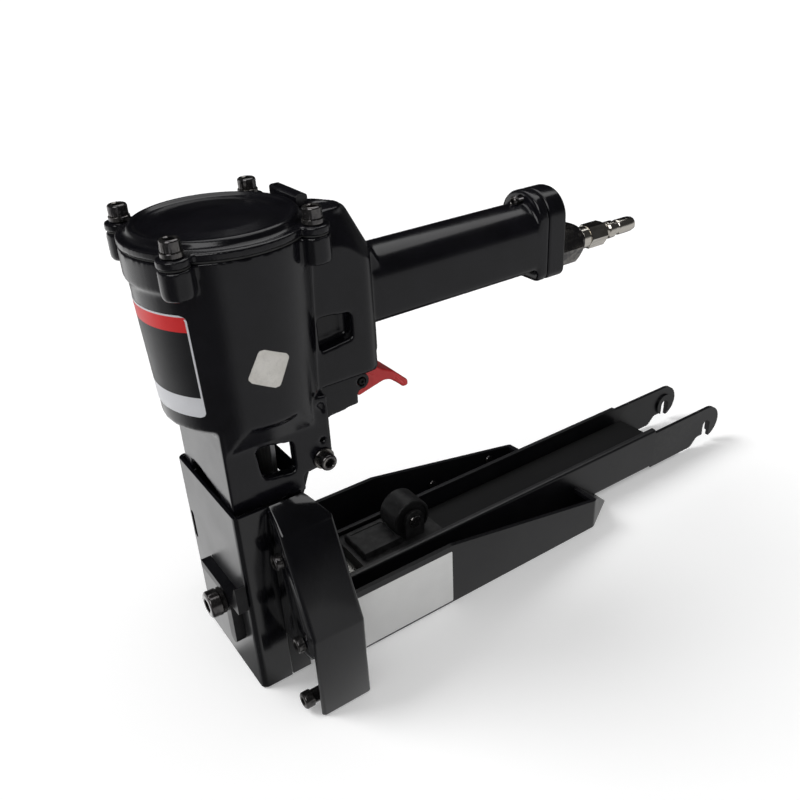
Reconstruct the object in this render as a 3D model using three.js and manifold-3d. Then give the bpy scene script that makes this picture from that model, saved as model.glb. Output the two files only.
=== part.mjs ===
// Carton closing stapler, air driven: a cylinder with a handle behind it, a nose with two
// clinchers under side guards, and a long staple magazine over a base tray.
// Millimetres. X points back along the magazine, Y to the tool's right, Z up.
// Inside the outer group the cylinder axis is at X = Y = 0 and the base rests on Z = 0.
import * as THREE from 'three';
import { mergeVertices } from 'three/addons/utils/BufferGeometryUtils.js';
import Module from 'manifold-3d';

const wasm = await Module();
wasm.setup();

// Clearances, cutting overrun and facets
const gap = { face: 0.2, seat: 0.3, running: 0.4, overrun: 2 };
const facets = { large: 40, medium: 20, small: 12, tiny: 8, arc: 5, hex: 6, clawOuter: 20, clawInner: 15 };
const fullTurn = 360;

// Cylinder and its casting
const barrel = { radius: 36.6, taper: 3.4, wall: 3.6, bottomZ: 149, topZ: 229, floor: 11, edge: 2 };
const boss = { xShare: 0.7625, yShare: 0.775, radius: 7, height: 11, cone: 6, coneShare: 0.45 };
const rearHousing = { halfWidth: 23, backX: 66, bottomZ: 151, corner: 9, crown: 8, lowEdge: 2 };
const hump = { frontX: 37, height: 4, flatBackX: 56, shoulderX: 62, shoulderDrop: 4, backX: 75 };
const recess = { frontX: 32, backX: 50, lowZ: 171, highZ: 187, depth: 4 };
const handle = { halfWidth: 14, bottomZ: 172, topZ: 205, startX: 50, endX: 179, lowEdge: 5 };
const handleFlange = { thickness: 9.5, above: 8, below: 7, capThickness: 12.2 };
const airway = { radius: 6.5, length: 90 };

// Cap, gasket, cap screws and exhaust cover
const gasket = { thickness: 0.7, inset: 0.8 };
const cap = {
  overhang: 1, flange: 3.4, ringInset: 3.6, ringHeight: 3.4, ringWidth: 3, dip: 1.4, domeRise: 2.2,
};
const domeShares = [[0.7, 0.6], [0.35, 0.92]];
const capScrew = { headRadius: 4.25, head: 5, washerRadius: 4.7, washer: 2.2, shankRadius: 2.4, bite: 14 };
const socketShare = 0.5;
const socketDepthShare = 0.55;
const headChamferShare = 0.12;
const exhaust = { depth: 6.5, halfWidth: 20, height: 3.6, chamfer: 1.2 };

// Neck under the cylinder with its windows, rear lugs and trigger bracket
const neck = {
  frontX: -24, backX: 14, halfWidth: 29, bottomZ: 105, ceilingZ: 147, frontWall: 4, sideWall: 6,
};
const shoulder = { startZ: 138, flare: 5.5 };
const neckWindow = { frontX: -8, backX: 9.5, lowFrontX: -3, lowBackX: 11, lowZ: 115, highZ: 136 };
const arch = { halfWidth: 16, height: 6, topShare: 0.6 };
const lug = { backX: 30, bottomZ: 113.5, boltX: 24.5, boltZ: 119 };
const triggerBracket = {
  backX: 56.5, halfWidth: 12, lowFrontZ: 127, lowBackZ: 132, earInner: 9.4, earRadius: 4.6,
};

// Inside the cylinder
const sleeve = { wall: 2.6, topDrop: 2.5 };
const bumper = { height: 22.6, bore: 13 };
const piston = { thickness: 16, rodRadius: 9, ringWidth: 4, ringDepth: 2.2, restDrop: 5, rodEndZ: 150 };

// Driver blade, crosshead and yokes
const driver = {
  planeX: 4.3, thickness: 2.2, halfWidth: 17.4, tipZ: 25.5, neckHalf: 6, neckZ: 139, neckTopZ: 158,
};
const crosshead = { lowZ: 86, height: 9, guardGap: 1.54 };
const yoke = { frontX: -2, backX: 1.3, inner: 35.6, outer: 48.8, lowZ: 34, slotHeight: 5.6, rim: 2.4 };

// Nose plates
const nose = {
  bottomZ: 1, halfWidth: 34.7, frontX: -9.2, plateGap: 5.8, backPlate: 4.8, backTopZ: 103, pad: 1.5,
};
const nosePad = { halfWidth: 17.9, topZ: 60 };
const noseSpacer = { inner: 22, outer: 32, lowZ: 46, highZ: 59 };
const feed = { halfWidth: 18.2, highZ: 23 };
const blockEar = { frontX: -7.7, backX: -2.5, lowZ: 32, kneeZ: 50, highZ: 90, lowY: 61, highY: 44.6 };
const tongue = {
  outer: 22.6, inner: 18.4, backX: 29, rootLowZ: 84, rootTopZ: 103, lowZ: 112, topZ: 126, kneeX: 19,
};
const frontPlate = { sheet: 2, faceX: -26.4, backX: -9.6, topZ: 108.4 };
const plateSlot = { inner: 27, outer: 30.5, lowZ: 60, highZ: 77 };

// Clinchers: a claw that sweeps round its pivot, driven through a pin in the yoke's slot
const clincher = {
  thickness: 5, pivotY: 23.5, pivotZ: 26, outerRadius: 35.5, innerRadius: 27.5, hubRadius: 5,
};
const claw = { tipAngle: -42, fullAngle: -22, heelAngle: 54, webAngle: 8, tipShare: 0.88 };
const yokePin = { reach: 20.5, angle: 45, radius: 2, length: 3.6 };
const pivotPin = { radius: 2.4, depth: 7.4 };

// Side guards
const guard = {
  sheet: 2, outerY: 68, frontX: -10, backX: 18, kneeZ: 49, bottomZ: 0.6, crownY: 46.4, crownZ: 98,
};
const guardTop = { y: 35.1, z: 109, cutX: 9 };
const frontFlange = { topDrop: 4, upperY: 40, upperZ: 101, midY: 49.4, midZ: 85 };
const flangeFoot = { endY: 64, endZ: 35, y: 50, z: 31 };
const rearFlange = { baseGap: 1, topY: 43, topZ: 96 };
const guardScrew = {
  headRadius: 4, head: 4, shankRadius: 2.2, upperY: 43, upperZ: 83, lowerY: 55, lowerZ: 40,
};
const stud = {
  y: 58.6, z: 6.5, headRadius: 4.4, head: 5, sleeveRadius: 3.6, headBackX: -11, shankRadius: 2.4,
};

// Depth adjuster on the front plate
const adjuster = { y: -16, z: 52, headRadius: 6.6, head: 5.6, shankRadius: 3.9, frontX: -40.5, shank: 31 };
const lockNut = { radius: 6.8, thickness: 2.4 };
const bracket = {
  thickness: 5.4, highZ: 60.2, lowZ: 54.6, farY: 11, legHalf: 3.2, legLowZ: 26, legY: -20, hub: 7.4,
};
const gusset = { highZ: 74, width: 7 };

// Neck bolts and the screw of the handle's end cap
const neckBolt = { headRadius: 4.25, head: 5, washerRadius: 5.4, washer: 1.2, shankRadius: 2.5, bite: 11.4 };
const endScrew = { headRadius: 2.7, head: 3, shankRadius: 1.5, bite: 17, drop: 4.5 };

// Base tray with its pointed rear corners
const base = {
  halfWidth: 42, wall: 2.6, floor: 1.7, frontX: 13, wallHeight: 40.5, levelX: 91, lowHeight: 20, backX: 203,
};
const basePoint = { backX: 229, halfWidth: 27, innerX: 205, innerY: 24, solidX: 8 };
const baseRivet = { frontX: 136, backX: 184, z: 17, headRadius: 2.8, head: 1.4, shankRadius: 1.5 };

// Magazine channel, its open tail, the core inside and the staples
const rail = {
  outer: 20.8, wall: 2.5, bottomZ: 2, floor: 1.5, topZ: 31.5, lip: 1.5, lipInner: 17, lipBackX: 287,
};
const tail = {
  floorBackX: 300, cutX: 322, cutEndX: 328, cutZ: 8, hookX: 337.6, hookZ: 16.4, hookRadius: 12.4,
};
const tailHook = { slotRadius: 3.8, slotZ: 15, bossRadius: 8, boss: 1.4 };
const core = { halfWidth: 15.9, sheet: 1.5, topZ: 20.8 };
const staple = { crown: 34.9, wire: 1.1, pitch: 2.3, count: 18, legLowZ: 4.4, topZ: 22.3 };

// Pusher with its coil spring drum
const pusher = { length: 55, halfWidth: 16.3, skirt: 1.5, skirtLowZ: 6, topZ: 29 };
const pusherStep = { inset: 3, length: 26, halfWidth: 11, height: 4.4 };
const drum = { radius: 12, halfWidth: 8, x: 87.5, z: 40, rim: 1.6, rimDepth: 1.2, hubRadius: 5 };
const drumEar = { thickness: 2.2, halfLength: 6.5 };
const axle = { radius: 2.2, headRadius: 4, head: 1.2 };

// Trigger, valve stem and its spring
const trigger = {
  pivotX: 59, pivotZ: 141.5, halfWidth: 9, cheek: 2, frontX: 57.2, topZ: 148.4, lowZ: 133, sole: 3,
};
const triggerTip = { x: 89, z: 129.5, thickness: 3.2, saddleX: 76.5, saddleZ: 138, crestX: 80, crestZ: 141 };
const triggerBack = { x: 66, z: 148.4, shoulderX: 73, shoulderZ: 144.4 };
const triggerPin = { radius: 2 };
const valve = {
  x: 67, radius: 5.2, bottomZ: 151.4, topZ: 169, housing: 2.6, chamber: 3.7, floor: 5.6, bore: 2.4,
};
const stem = { radius: 2, lowZ: 149.6, collarRadius: 3.2, collar: 1.4, topZ: 165 };
const valveSpring = { coils: 5, wire: 0.6, meanRadius: 2.85, height: 7.4, steps: 8, sides: 5 };

// Air inlet
const inlet = {
  z: 176.5, hexAcross: 21, hexLength: 16, neckRadius: 8, neckLength: 4, threadRadius: 7.4, thread: 8.6,
};
const plug = {
  seatRadius: 4.6, seatLength: 10, collarRadius: 6.4, collar: 6, hexAcross: 12.4, hexLength: 12,
};
const plugTip = {
  neckRadius: 4.2, neck: 9, ringRadius: 5.1, ring: 5, grooveRadius: 3.9, groove: 4, endRadius: 4.6, end: 13,
};
const inletBore = { radius: 2.7 };

// A closed geometry as a solid, with its vertices merged and its faces pointing out
const mergeDistance = 1e-4;

function solidOf(geometry) {
  const bare = geometry.index ? geometry.toNonIndexed() : geometry.clone();
  for (const name of Object.keys(bare.attributes)) {
    if (name !== 'position') bare.deleteAttribute(name);
  }
  const merged = mergeVertices(bare, mergeDistance);
  const places = merged.attributes.position.array;
  const corners = merged.index.array;
  const kept = [];
  let volume = 0;
  const a = new THREE.Vector3();
  const b = new THREE.Vector3();
  const c = new THREE.Vector3();
  for (let i = 0; i < corners.length; i += 3) {
    const [p, q, r] = [corners[i], corners[i + 1], corners[i + 2]];
    if (p === q || q === r || p === r) continue;
    kept.push(p, q, r);
    a.fromArray(places, p * 3);
    b.fromArray(places, q * 3);
    c.fromArray(places, r * 3);
    volume += a.dot(b.cross(c));
  }
  if (volume < 0) {
    for (let i = 0; i < kept.length; i += 3) [kept[i], kept[i + 1]] = [kept[i + 1], kept[i]];
  }
  const vertProperties = new Float32Array(places);
  return new wasm.Manifold(new wasm.Mesh({ numProp: 3, vertProperties, triVerts: new Uint32Array(kept) }));
}

const joined = (...solids) => solids.reduce((whole, next) => whole.add(next));
const cut = (whole, ...tools) => tools.reduce((left, tool) => left.subtract(tool), whole);
const common = (...solids) => solids.reduce((whole, next) => whole.intersect(next));
const ordered = (p, q) => [Math.min(p, q), Math.max(p, q)];
const mirroredSpan = (p, q, sy) => ordered(p * sy, q * sy);
const onSide = (points, sy) => points.map(([y, z]) => [y * sy, z]);
const radians = THREE.MathUtils.degToRad;

// Axes of an extruded outline: (y, z) along X, (x, z) along Y or (x, y) along Z
const axisX = new THREE.Vector3(1, 0, 0);
const axisY = new THREE.Vector3(0, 1, 0);
const axisZ = new THREE.Vector3(0, 0, 1);
const slabFrames = {
  x: new THREE.Matrix4().makeBasis(axisY, axisZ, axisX),
  y: new THREE.Matrix4().makeBasis(axisX, axisZ, axisY.clone().negate()),
  z: new THREE.Matrix4().makeBasis(axisX, axisY, axisZ),
};

function slab(axis, outline, low, high) {
  const shape = Array.isArray(outline)
    ? new THREE.Shape(outline.map(([u, v]) => new THREE.Vector2(u, v)))
    : outline;
  const options = { depth: high - low, bevelEnabled: false, curveSegments: facets.arc };
  const geometry = new THREE.ExtrudeGeometry(shape, options);
  geometry.applyMatrix4(slabFrames[axis]);
  const starts = { x: [low, 0, 0], y: [0, high, 0], z: [0, 0, low] };
  geometry.translate(...starts[axis]);
  return solidOf(geometry);
}

function block([x0, x1], [y0, y1], [z0, z1]) {
  const geometry = new THREE.BoxGeometry(x1 - x0, y1 - y0, z1 - z0);
  geometry.translate((x0 + x1) / 2, (y0 + y1) / 2, (z0 + z1) / 2);
  return solidOf(geometry);
}

// Turned solids: a profile of (radius, height) about an axis along X, Y or Z
const turnFrames = {
  x: new THREE.Matrix4().makeRotationZ(-Math.PI / 2),
  y: new THREE.Matrix4(),
  z: new THREE.Matrix4().makeRotationX(Math.PI / 2),
};

function turned(axis, profile, sides, centre = [0, 0, 0]) {
  const points = profile.map(([radius, height]) => new THREE.Vector2(radius, height));
  const geometry = new THREE.LatheGeometry(points, sides);
  geometry.applyMatrix4(turnFrames[axis]);
  geometry.translate(...centre);
  return solidOf(geometry);
}

function rod(axis, radius, low, high, sides, centre) {
  return turned(axis, [[0, low], [radius, low], [radius, high], [0, high]], sides, centre);
}

function ringSolid(axis, outer, inner, low, high, sides) {
  return turned(axis, [[inner, low], [outer, low], [outer, high], [inner, high], [inner, low]], sides);
}

function hexBar(axis, across, low, high, centre) {
  return rod(axis, across / Math.sqrt(3), low, high, facets.hex, centre);
}

// A section with rounded upper and lower corners, as an outline of (y, z)
function roundedSection(half, low, high, upper, lower) {
  const shape = new THREE.Shape();
  shape.moveTo(-half + lower, low);
  shape.lineTo(half - lower, low);
  shape.absarc(half - lower, low + lower, lower, -Math.PI / 2, 0, false);
  shape.absarc(half - upper, high - upper, upper, 0, Math.PI / 2, false);
  shape.absarc(-half + upper, high - upper, upper, Math.PI / 2, Math.PI, false);
  shape.absarc(-half + lower, low + lower, lower, Math.PI, Math.PI * 1.5, false);
  return shape;
}

// Points of an arc about a centre, angles in degrees
function arcPoints([u, v], radius, from, to, steps) {
  const points = [];
  for (let i = 0; i <= steps; i += 1) {
    const angle = radians(from + ((to - from) * i) / steps);
    points.push([u + radius * Math.cos(angle), v + radius * Math.sin(angle)]);
  }
  return points;
}

// An open line of points moved to its right by a distance, with mitred corners
function offsetLine(points, distance) {
  const normals = points.slice(1).map(([u, v], i) => {
    const along = new THREE.Vector2(u - points[i][0], v - points[i][1]).normalize();
    return new THREE.Vector2(along.y, -along.x);
  });
  return points.map(([u, v], i) => {
    const before = normals[Math.max(i - 1, 0)];
    const after = normals[Math.min(i, normals.length - 1)];
    const reach = distance / (1 + before.dot(after));
    return [u + (before.x + after.x) * reach, v + (before.y + after.y) * reach];
  });
}

// A socket head screw. Height 0 is its seat, the shank goes down, direction -1 turns it over.
function screwSolid(axis, size, direction = 1) {
  const washer = size.washer || 0;
  const top = washer + size.head;
  const chamfer = size.head * headChamferShare;
  const at = (radius, height) => [radius, height * direction];
  const profile = [at(0, -size.bite), at(size.shankRadius, -size.bite), at(size.shankRadius, 0)];
  if (washer > 0) profile.push(at(size.washerRadius, 0), at(size.washerRadius, washer));
  profile.push(at(size.headRadius, washer), at(size.headRadius, top - chamfer));
  profile.push(at(size.headRadius - chamfer, top), at(0, top));
  const ends = ordered((top - size.head * socketDepthShare) * direction, (top + gap.overrun) * direction);
  const across = size.headRadius * 2 * socketShare;
  return cut(turned(axis, profile, facets.small), hexBar(axis, across, ...ends));
}

// The parts, each mesh holding one closed body
const tool = new THREE.Group();

function addPart(name, solid, finish, place = [0, 0, 0]) {
  const found = solid.getMesh();
  const places = new Float32Array(found.numVert * 3);
  for (let i = 0; i < found.numVert; i += 1) {
    for (let k = 0; k < 3; k += 1) places[i * 3 + k] = found.vertProperties[i * found.numProp + k];
  }
  const geometry = new THREE.BufferGeometry();
  geometry.setAttribute('position', new THREE.BufferAttribute(places, 3));
  geometry.setIndex(new THREE.BufferAttribute(new Uint32Array(found.triVerts), 1));
  geometry.computeVertexNormals();
  const mesh = new THREE.Mesh(geometry, new THREE.MeshStandardMaterial(finish));
  mesh.name = name;
  mesh.position.set(...place);
  tool.add(mesh);
}

const casting = { color: 0x17171b, roughness: 0.38, metalness: 0.2 };
const blackSheet = { color: 0x121216, roughness: 0.3, metalness: 0.3 };
const moulded = { color: 0x131314, roughness: 0.6, metalness: 0 };
const screwSteel = { color: 0x2c2c2e, roughness: 0.25, metalness: 0.9 };
const nickel = { color: 0xb9b6ae, roughness: 0.2, metalness: 1 };
const toolSteel = { color: 0x8d8d90, roughness: 0.35, metalness: 1 };
const redPlastic = { color: 0xb5121b, roughness: 0.35, metalness: 0 };
const rubber = { color: 0x101010, roughness: 0.8, metalness: 0 };
const aluminium = { color: 0xa9abae, roughness: 0.4, metalness: 1 };

const hands = [['left', -1], ['right', 1]];

// Places that follow from the driving sizes
const barrelTopRadius = barrel.radius + barrel.taper;
const boreRadius = barrel.radius - barrel.wall;
const bossX = barrelTopRadius * boss.xShare;
const bossY = barrelTopRadius * boss.yShare;
const capRadius = barrelTopRadius + cap.overhang;
const capRingRadius = barrelTopRadius - cap.ringInset;
const gasketZ = barrel.topZ + gap.face;
const capZ = gasketZ + gasket.thickness + gap.face;
const capSeatZ = capZ + cap.flange;
const humpTopZ = barrel.topZ + hump.height;
const boreFloorZ = barrel.bottomZ + barrel.floor;
const passageRadius = piston.rodRadius + gap.running;
const sleeveOuter = boreRadius - gap.seat;
const sleeveInner = sleeveOuter - sleeve.wall;
const pistonRadius = sleeveInner - gap.running;
const pistonTopZ = barrel.topZ - piston.restDrop;
const pistonLowZ = pistonTopZ - piston.thickness;
const blockBackX = driver.planeX - nose.plateGap / 2;
const plateFrontX = driver.planeX + nose.plateGap / 2;
const plateBackX = plateFrontX + nose.backPlate;
const bladeFrontX = driver.planeX - driver.thickness / 2;
const bladeBackX = driver.planeX + driver.thickness / 2;
const crossheadTopZ = crosshead.lowZ + crosshead.height;
const guardSlope = (guard.outerY - guard.crownY) / (guard.crownZ - guard.kneeZ);
const guardOuterY = guard.outerY - (crossheadTopZ - guard.kneeZ) * guardSlope;
const crossheadHalf = guardOuterY - guard.sheet * Math.hypot(1, guardSlope) - crosshead.guardGap;
const swingFrontX = driver.planeX - clincher.thickness / 2;
const swingBackX = driver.planeX + clincher.thickness / 2;
const noseTopZ = neck.bottomZ - gap.seat;
const coreLowZ = rail.bottomZ + rail.floor + gap.seat;
const railInner = rail.outer - rail.wall;
const railFrontX = plateBackX + gap.running;
const stapleFrontX = plateFrontX + gap.running;
const stapleBackX = stapleFrontX + staple.pitch * staple.count;
const pusherFrontX = stapleBackX + gap.seat;
const endCapX = handle.endX + gap.seat;
const hexStartX = endCapX + handleFlange.capThickness + gap.seat;
const neckEndX = hexStartX + inlet.hexLength + inlet.neckLength;
const plugStartX = neckEndX + gap.seat;
const endScrewZ = handle.topZ + handleFlange.above - endScrew.drop;
const capScrewPlaces = [[-1, -1], [1, -1], [-1, 1], [1, 1]].map(([sx, sy]) => [bossX * sx, bossY * sy]);
const valveBoss = valve.radius + gap.seat + valve.housing;
const pivotPlace = (sy) => [0, clincher.pivotY * sy, clincher.pivotZ];

// Main housing: cylinder, rear housing with its hump, handle and neck in one casting
function barrelSolid() {
  const shell = [
    [0, barrel.bottomZ],
    [barrel.radius - barrel.edge, barrel.bottomZ],
    [barrel.radius, barrel.bottomZ + barrel.edge],
    [barrelTopRadius, barrel.topZ],
    [0, barrel.topZ],
  ];
  const low = barrel.topZ - boss.height;
  const column = [
    [0, low - boss.cone],
    [boss.radius * boss.coneShare, low - boss.cone],
    [boss.radius, low],
    [boss.radius, barrel.topZ],
    [0, barrel.topZ],
  ];
  const columns = capScrewPlaces.map(([x, y]) => turned('z', column, facets.medium, [x, y, 0]));
  return joined(turned('z', shell, facets.large), ...columns);
}

function rearHousingSolid() {
  const wide = rearHousing.halfWidth;
  const round = rearHousing.corner;
  const side = [
    [0, rearHousing.bottomZ],
    [rearHousing.backX, rearHousing.bottomZ],
    [rearHousing.backX, handle.bottomZ],
    [hump.backX, handle.bottomZ],
    [hump.backX, handle.topZ],
    [hump.shoulderX, humpTopZ - hump.shoulderDrop],
    [hump.flatBackX, humpTopZ],
    [hump.frontX, humpTopZ],
    [hump.frontX, barrel.topZ],
    [0, barrel.topZ],
  ];
  const plan = new THREE.Shape();
  plan.moveTo(0, -wide);
  plan.absarc(rearHousing.backX - round, -wide + round, round, -Math.PI / 2, 0, false);
  plan.lineTo(hump.backX, -handle.halfWidth);
  plan.lineTo(hump.backX, handle.halfWidth);
  plan.absarc(rearHousing.backX - round, wide - round, round, 0, Math.PI / 2, false);
  plan.lineTo(0, wide);
  const section = roundedSection(wide, rearHousing.bottomZ, humpTopZ, rearHousing.crown, rearHousing.lowEdge);
  return common(
    slab('y', side, -wide, wide),
    slab('z', plan, rearHousing.bottomZ, humpTopZ),
    slab('x', section, 0, hump.backX),
  );
}

function flangeSection() {
  const low = handle.bottomZ - handleFlange.below;
  const high = handle.topZ + handleFlange.above;
  return roundedSection(handle.halfWidth, low, high, handle.halfWidth, handle.lowEdge);
}

function handleSolid() {
  const grip = roundedSection(handle.halfWidth, handle.bottomZ, handle.topZ, handle.halfWidth, handle.lowEdge);
  return joined(
    slab('x', grip, handle.startX, handle.endX),
    slab('x', flangeSection(), handle.endX - handleFlange.thickness, handle.endX),
    rod('z', valveBoss, rearHousing.bottomZ, handle.bottomZ + handle.lowEdge, facets.medium, [valve.x, 0, 0]),
  );
}

// The neck is a box open below and behind, its walls flaring into the cylinder's foot
function neckSolid() {
  const half = neck.halfWidth;
  const wide = half + shoulder.flare;
  const top = barrel.bottomZ + barrel.edge;
  const spread = [
    [-half, shoulder.startZ],
    [half, shoulder.startZ],
    [wide, top],
    [-wide, top],
  ];
  const flare = common(
    slab('x', spread, neck.frontX, lug.backX),
    rod('z', barrel.radius, shoulder.startZ, top, facets.large),
  );
  let solid = joined(block([neck.frontX, neck.backX], [-half, half], [neck.bottomZ, top]), flare);
  for (const [, sy] of hands) {
    const wall = mirroredSpan(half - neck.sideWall, half, sy);
    solid = solid.add(block([neck.frontX, lug.backX], wall, [lug.bottomZ, top]));
  }
  return solid;
}

function neckHollow() {
  const inner = neck.halfWidth - neck.sideWall;
  const foot = neck.bottomZ - gap.overrun;
  const box = block([neck.frontX + neck.frontWall, lug.backX + gap.overrun], [-inner, inner], [foot, neck.ceilingZ]);
  const opening = [
    [neckWindow.lowFrontX, neckWindow.lowZ],
    [neckWindow.lowBackX, neckWindow.lowZ],
    [neckWindow.backX, neckWindow.highZ],
    [neckWindow.frontX, neckWindow.highZ],
  ];
  const through = neck.halfWidth + gap.overrun;
  const archShape = [
    [-arch.halfWidth, foot],
    [arch.halfWidth, foot],
    [arch.halfWidth * arch.topShare, neck.bottomZ + arch.height],
    [-arch.halfWidth * arch.topShare, neck.bottomZ + arch.height],
  ];
  const boltHole = neckBolt.shankRadius + gap.seat;
  return joined(
    box,
    slab('y', opening, -through, through),
    slab('x', archShape, neck.frontX - gap.overrun, neck.frontX + neck.frontWall + gap.overrun),
    rod('y', boltHole, -through, through, facets.small, [lug.boltX, 0, lug.boltZ]),
  );
}

function triggerBracketSolid() {
  const half = triggerBracket.halfWidth;
  const top = barrel.bottomZ + barrel.edge;
  const side = [
    [neck.backX, triggerBracket.lowFrontZ],
    [triggerBracket.backX, triggerBracket.lowBackZ],
    [triggerBracket.backX, neck.ceilingZ],
    [lug.backX, neck.ceilingZ],
    [lug.backX, top],
    [neck.backX, top],
  ];
  const pivot = [trigger.pivotX, 0, trigger.pivotZ];
  const ear = rod('y', triggerBracket.earRadius, -half, half, facets.medium, pivot);
  const slot = block(
    [trigger.frontX - trigger.cheek, trigger.pivotX + triggerBracket.earRadius + gap.overrun],
    [-triggerBracket.earInner, triggerBracket.earInner],
    [triggerBracket.lowFrontZ, top],
  );
  const reach = half + gap.overrun;
  const hole = rod('y', triggerPin.radius + gap.seat, -reach, reach, facets.small, pivot);
  return cut(joined(slab('y', side, -half, half), ear), slot, hole);
}

// Air runs from the inlet through the handle; the valve sits in a pocket ahead of it
function passages() {
  const low = rearHousing.bottomZ - gap.overrun;
  const start = handle.endX - airway.length;
  const thread = inlet.threadRadius + gap.seat;
  const deep = boreFloorZ + gap.overrun;
  const endHole = endScrew.shankRadius + gap.seat;
  const past = handle.endX + gap.overrun;
  return joined(
    rod('z', boreRadius, boreFloorZ, barrel.topZ + gap.overrun, facets.large),
    rod('z', passageRadius, neck.ceilingZ - gap.overrun, deep, facets.medium),
    rod('x', airway.radius, start, handle.endX, facets.medium, [0, 0, inlet.z + airway.radius]),
    rod('x', thread, handle.endX - inlet.thread - gap.seat, past, facets.medium, [0, 0, inlet.z]),
    rod('x', endHole, handle.endX - handleFlange.thickness - gap.overrun, past, facets.small, [0, 0, endScrewZ]),
    rod('z', valve.radius + gap.seat, low, valve.topZ + gap.seat, facets.medium, [valve.x, 0, 0]),
  );
}

function recessCut(sy) {
  const span = mirroredSpan(rearHousing.halfWidth - recess.depth, rearHousing.halfWidth + gap.overrun, sy);
  return block([recess.frontX, recess.backX], span, [recess.lowZ, recess.highZ]);
}

function mainHousing() {
  const outer = joined(barrelSolid(), rearHousingSolid(), handleSolid(), neckSolid());
  const hollow = cut(outer, neckHollow(), passages(), recessCut(-1), recessCut(1));
  const whole = hollow.add(triggerBracketSolid());
  const radius = capScrew.shankRadius + gap.seat;
  const span = [capSeatZ - capScrew.bite - gap.seat, barrel.topZ + gap.overrun];
  const holes = capScrewPlaces.map(([x, y]) => rod('z', radius, ...span, facets.small, [x, y, 0]));
  return cut(whole, ...holes);
}
addPart('main_housing', mainHousing(), casting);

// Cylinder cap and gasket share an outline with four ears, cut off flat at the hump
function earedDisc(radius, earRadius, low, high) {
  const ears = capScrewPlaces.map(([x, y]) => rod('z', earRadius, low, high, facets.medium, [x, y, 0]));
  const through = [low - gap.overrun, high + gap.overrun];
  const clear = rearHousing.halfWidth + gap.seat;
  const flat = block([hump.frontX - gap.seat, capRadius + gap.overrun], [-clear, clear], through);
  const hole = capScrew.shankRadius + gap.seat;
  const holes = capScrewPlaces.map(([x, y]) => rod('z', hole, ...through, facets.small, [x, y, 0]));
  return cut(joined(rod('z', radius, low, high, facets.large), ...ears), flat, ...holes);
}

function cylinderCap() {
  const rimZ = capSeatZ + cap.ringHeight;
  const inner = capRingRadius - cap.ringWidth;
  const dishZ = rimZ - cap.dip;
  const dome = domeShares.map(([out, up]) => [inner * out, dishZ + cap.domeRise * up]);
  const crown = [
    [0, capZ + gap.overrun],
    [capRingRadius, capZ + gap.overrun],
    [capRingRadius, dishZ],
    [capRingRadius - cap.dip, rimZ],
    [inner, rimZ],
    [inner - cap.dip, dishZ],
    ...dome,
    [0, dishZ + cap.domeRise],
  ];
  return joined(earedDisc(capRadius, boss.radius, capZ, capSeatZ), turned('z', crown, facets.large));
}
addPart('cylinder_cap', cylinderCap(), casting);

function capGasket() {
  const high = gasketZ + gasket.thickness;
  const disc = earedDisc(capRadius - gasket.inset, boss.radius - gasket.inset, gasketZ, high);
  return cut(disc, rod('z', boreRadius, gasketZ - gap.overrun, high + gap.overrun, facets.large));
}
addPart('cap_gasket', capGasket(), rubber);

capScrewPlaces.forEach(([x, y], i) => {
  addPart(`cap_screw_${i + 1}`, screwSolid('z', capScrew), screwSteel, [x, y, capSeatZ + gap.face]);
});

function exhaustCover() {
  const front = hump.frontX;
  const back = front + exhaust.depth;
  const low = humpTopZ + gap.face;
  const high = low + exhaust.height;
  const end = [
    [front, low],
    [back, low],
    [back, high - exhaust.chamfer],
    [back - exhaust.chamfer, high],
    [front + exhaust.chamfer, high],
    [front, high - exhaust.chamfer],
  ];
  return slab('y', end, -exhaust.halfWidth, exhaust.halfWidth);
}
addPart('exhaust_cover', exhaustCover(), casting);

// Inside the cylinder: sleeve, bumper and the piston with its ring
const sleeveLowZ = boreFloorZ + gap.seat;
const sleeveTopZ = barrel.topZ - sleeve.topDrop;
addPart('cylinder_sleeve', ringSolid('z', sleeveOuter, sleeveInner, sleeveLowZ, sleeveTopZ, facets.large), toolSteel);

const bumperTopZ = sleeveLowZ + bumper.height;
const bumperOuter = sleeveInner - gap.seat;
addPart('bumper', ringSolid('z', bumperOuter, bumper.bore, sleeveLowZ, bumperTopZ, facets.medium), rubber);

const ringMidZ = (pistonTopZ + pistonLowZ) / 2;
const ringHalf = piston.ringWidth / 2;
const grooveRadius = pistonRadius - piston.ringDepth;

function pistonSolid() {
  const profile = [
    [0, piston.rodEndZ],
    [piston.rodRadius, piston.rodEndZ],
    [piston.rodRadius, pistonLowZ],
    [pistonRadius, pistonLowZ],
    [pistonRadius, ringMidZ - ringHalf],
    [grooveRadius, ringMidZ - ringHalf],
    [grooveRadius, ringMidZ + ringHalf],
    [pistonRadius, ringMidZ + ringHalf],
    [pistonRadius, pistonTopZ],
    [0, pistonTopZ],
  ];
  const slot = block(
    [bladeFrontX - gap.seat, bladeBackX + gap.seat],
    [-driver.neckHalf - gap.seat, driver.neckHalf + gap.seat],
    [piston.rodEndZ - gap.overrun, driver.neckTopZ + gap.seat],
  );
  return cut(turned('z', profile, facets.large), slot);
}
addPart('piston', pistonSolid(), aluminium);

const ringSpan = [ringMidZ - ringHalf + gap.face, ringMidZ + ringHalf - gap.face];
const ringInner = grooveRadius + gap.seat;
addPart('piston_ring', ringSolid('z', sleeveInner - gap.face, ringInner, ...ringSpan, facets.large), rubber);

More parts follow.
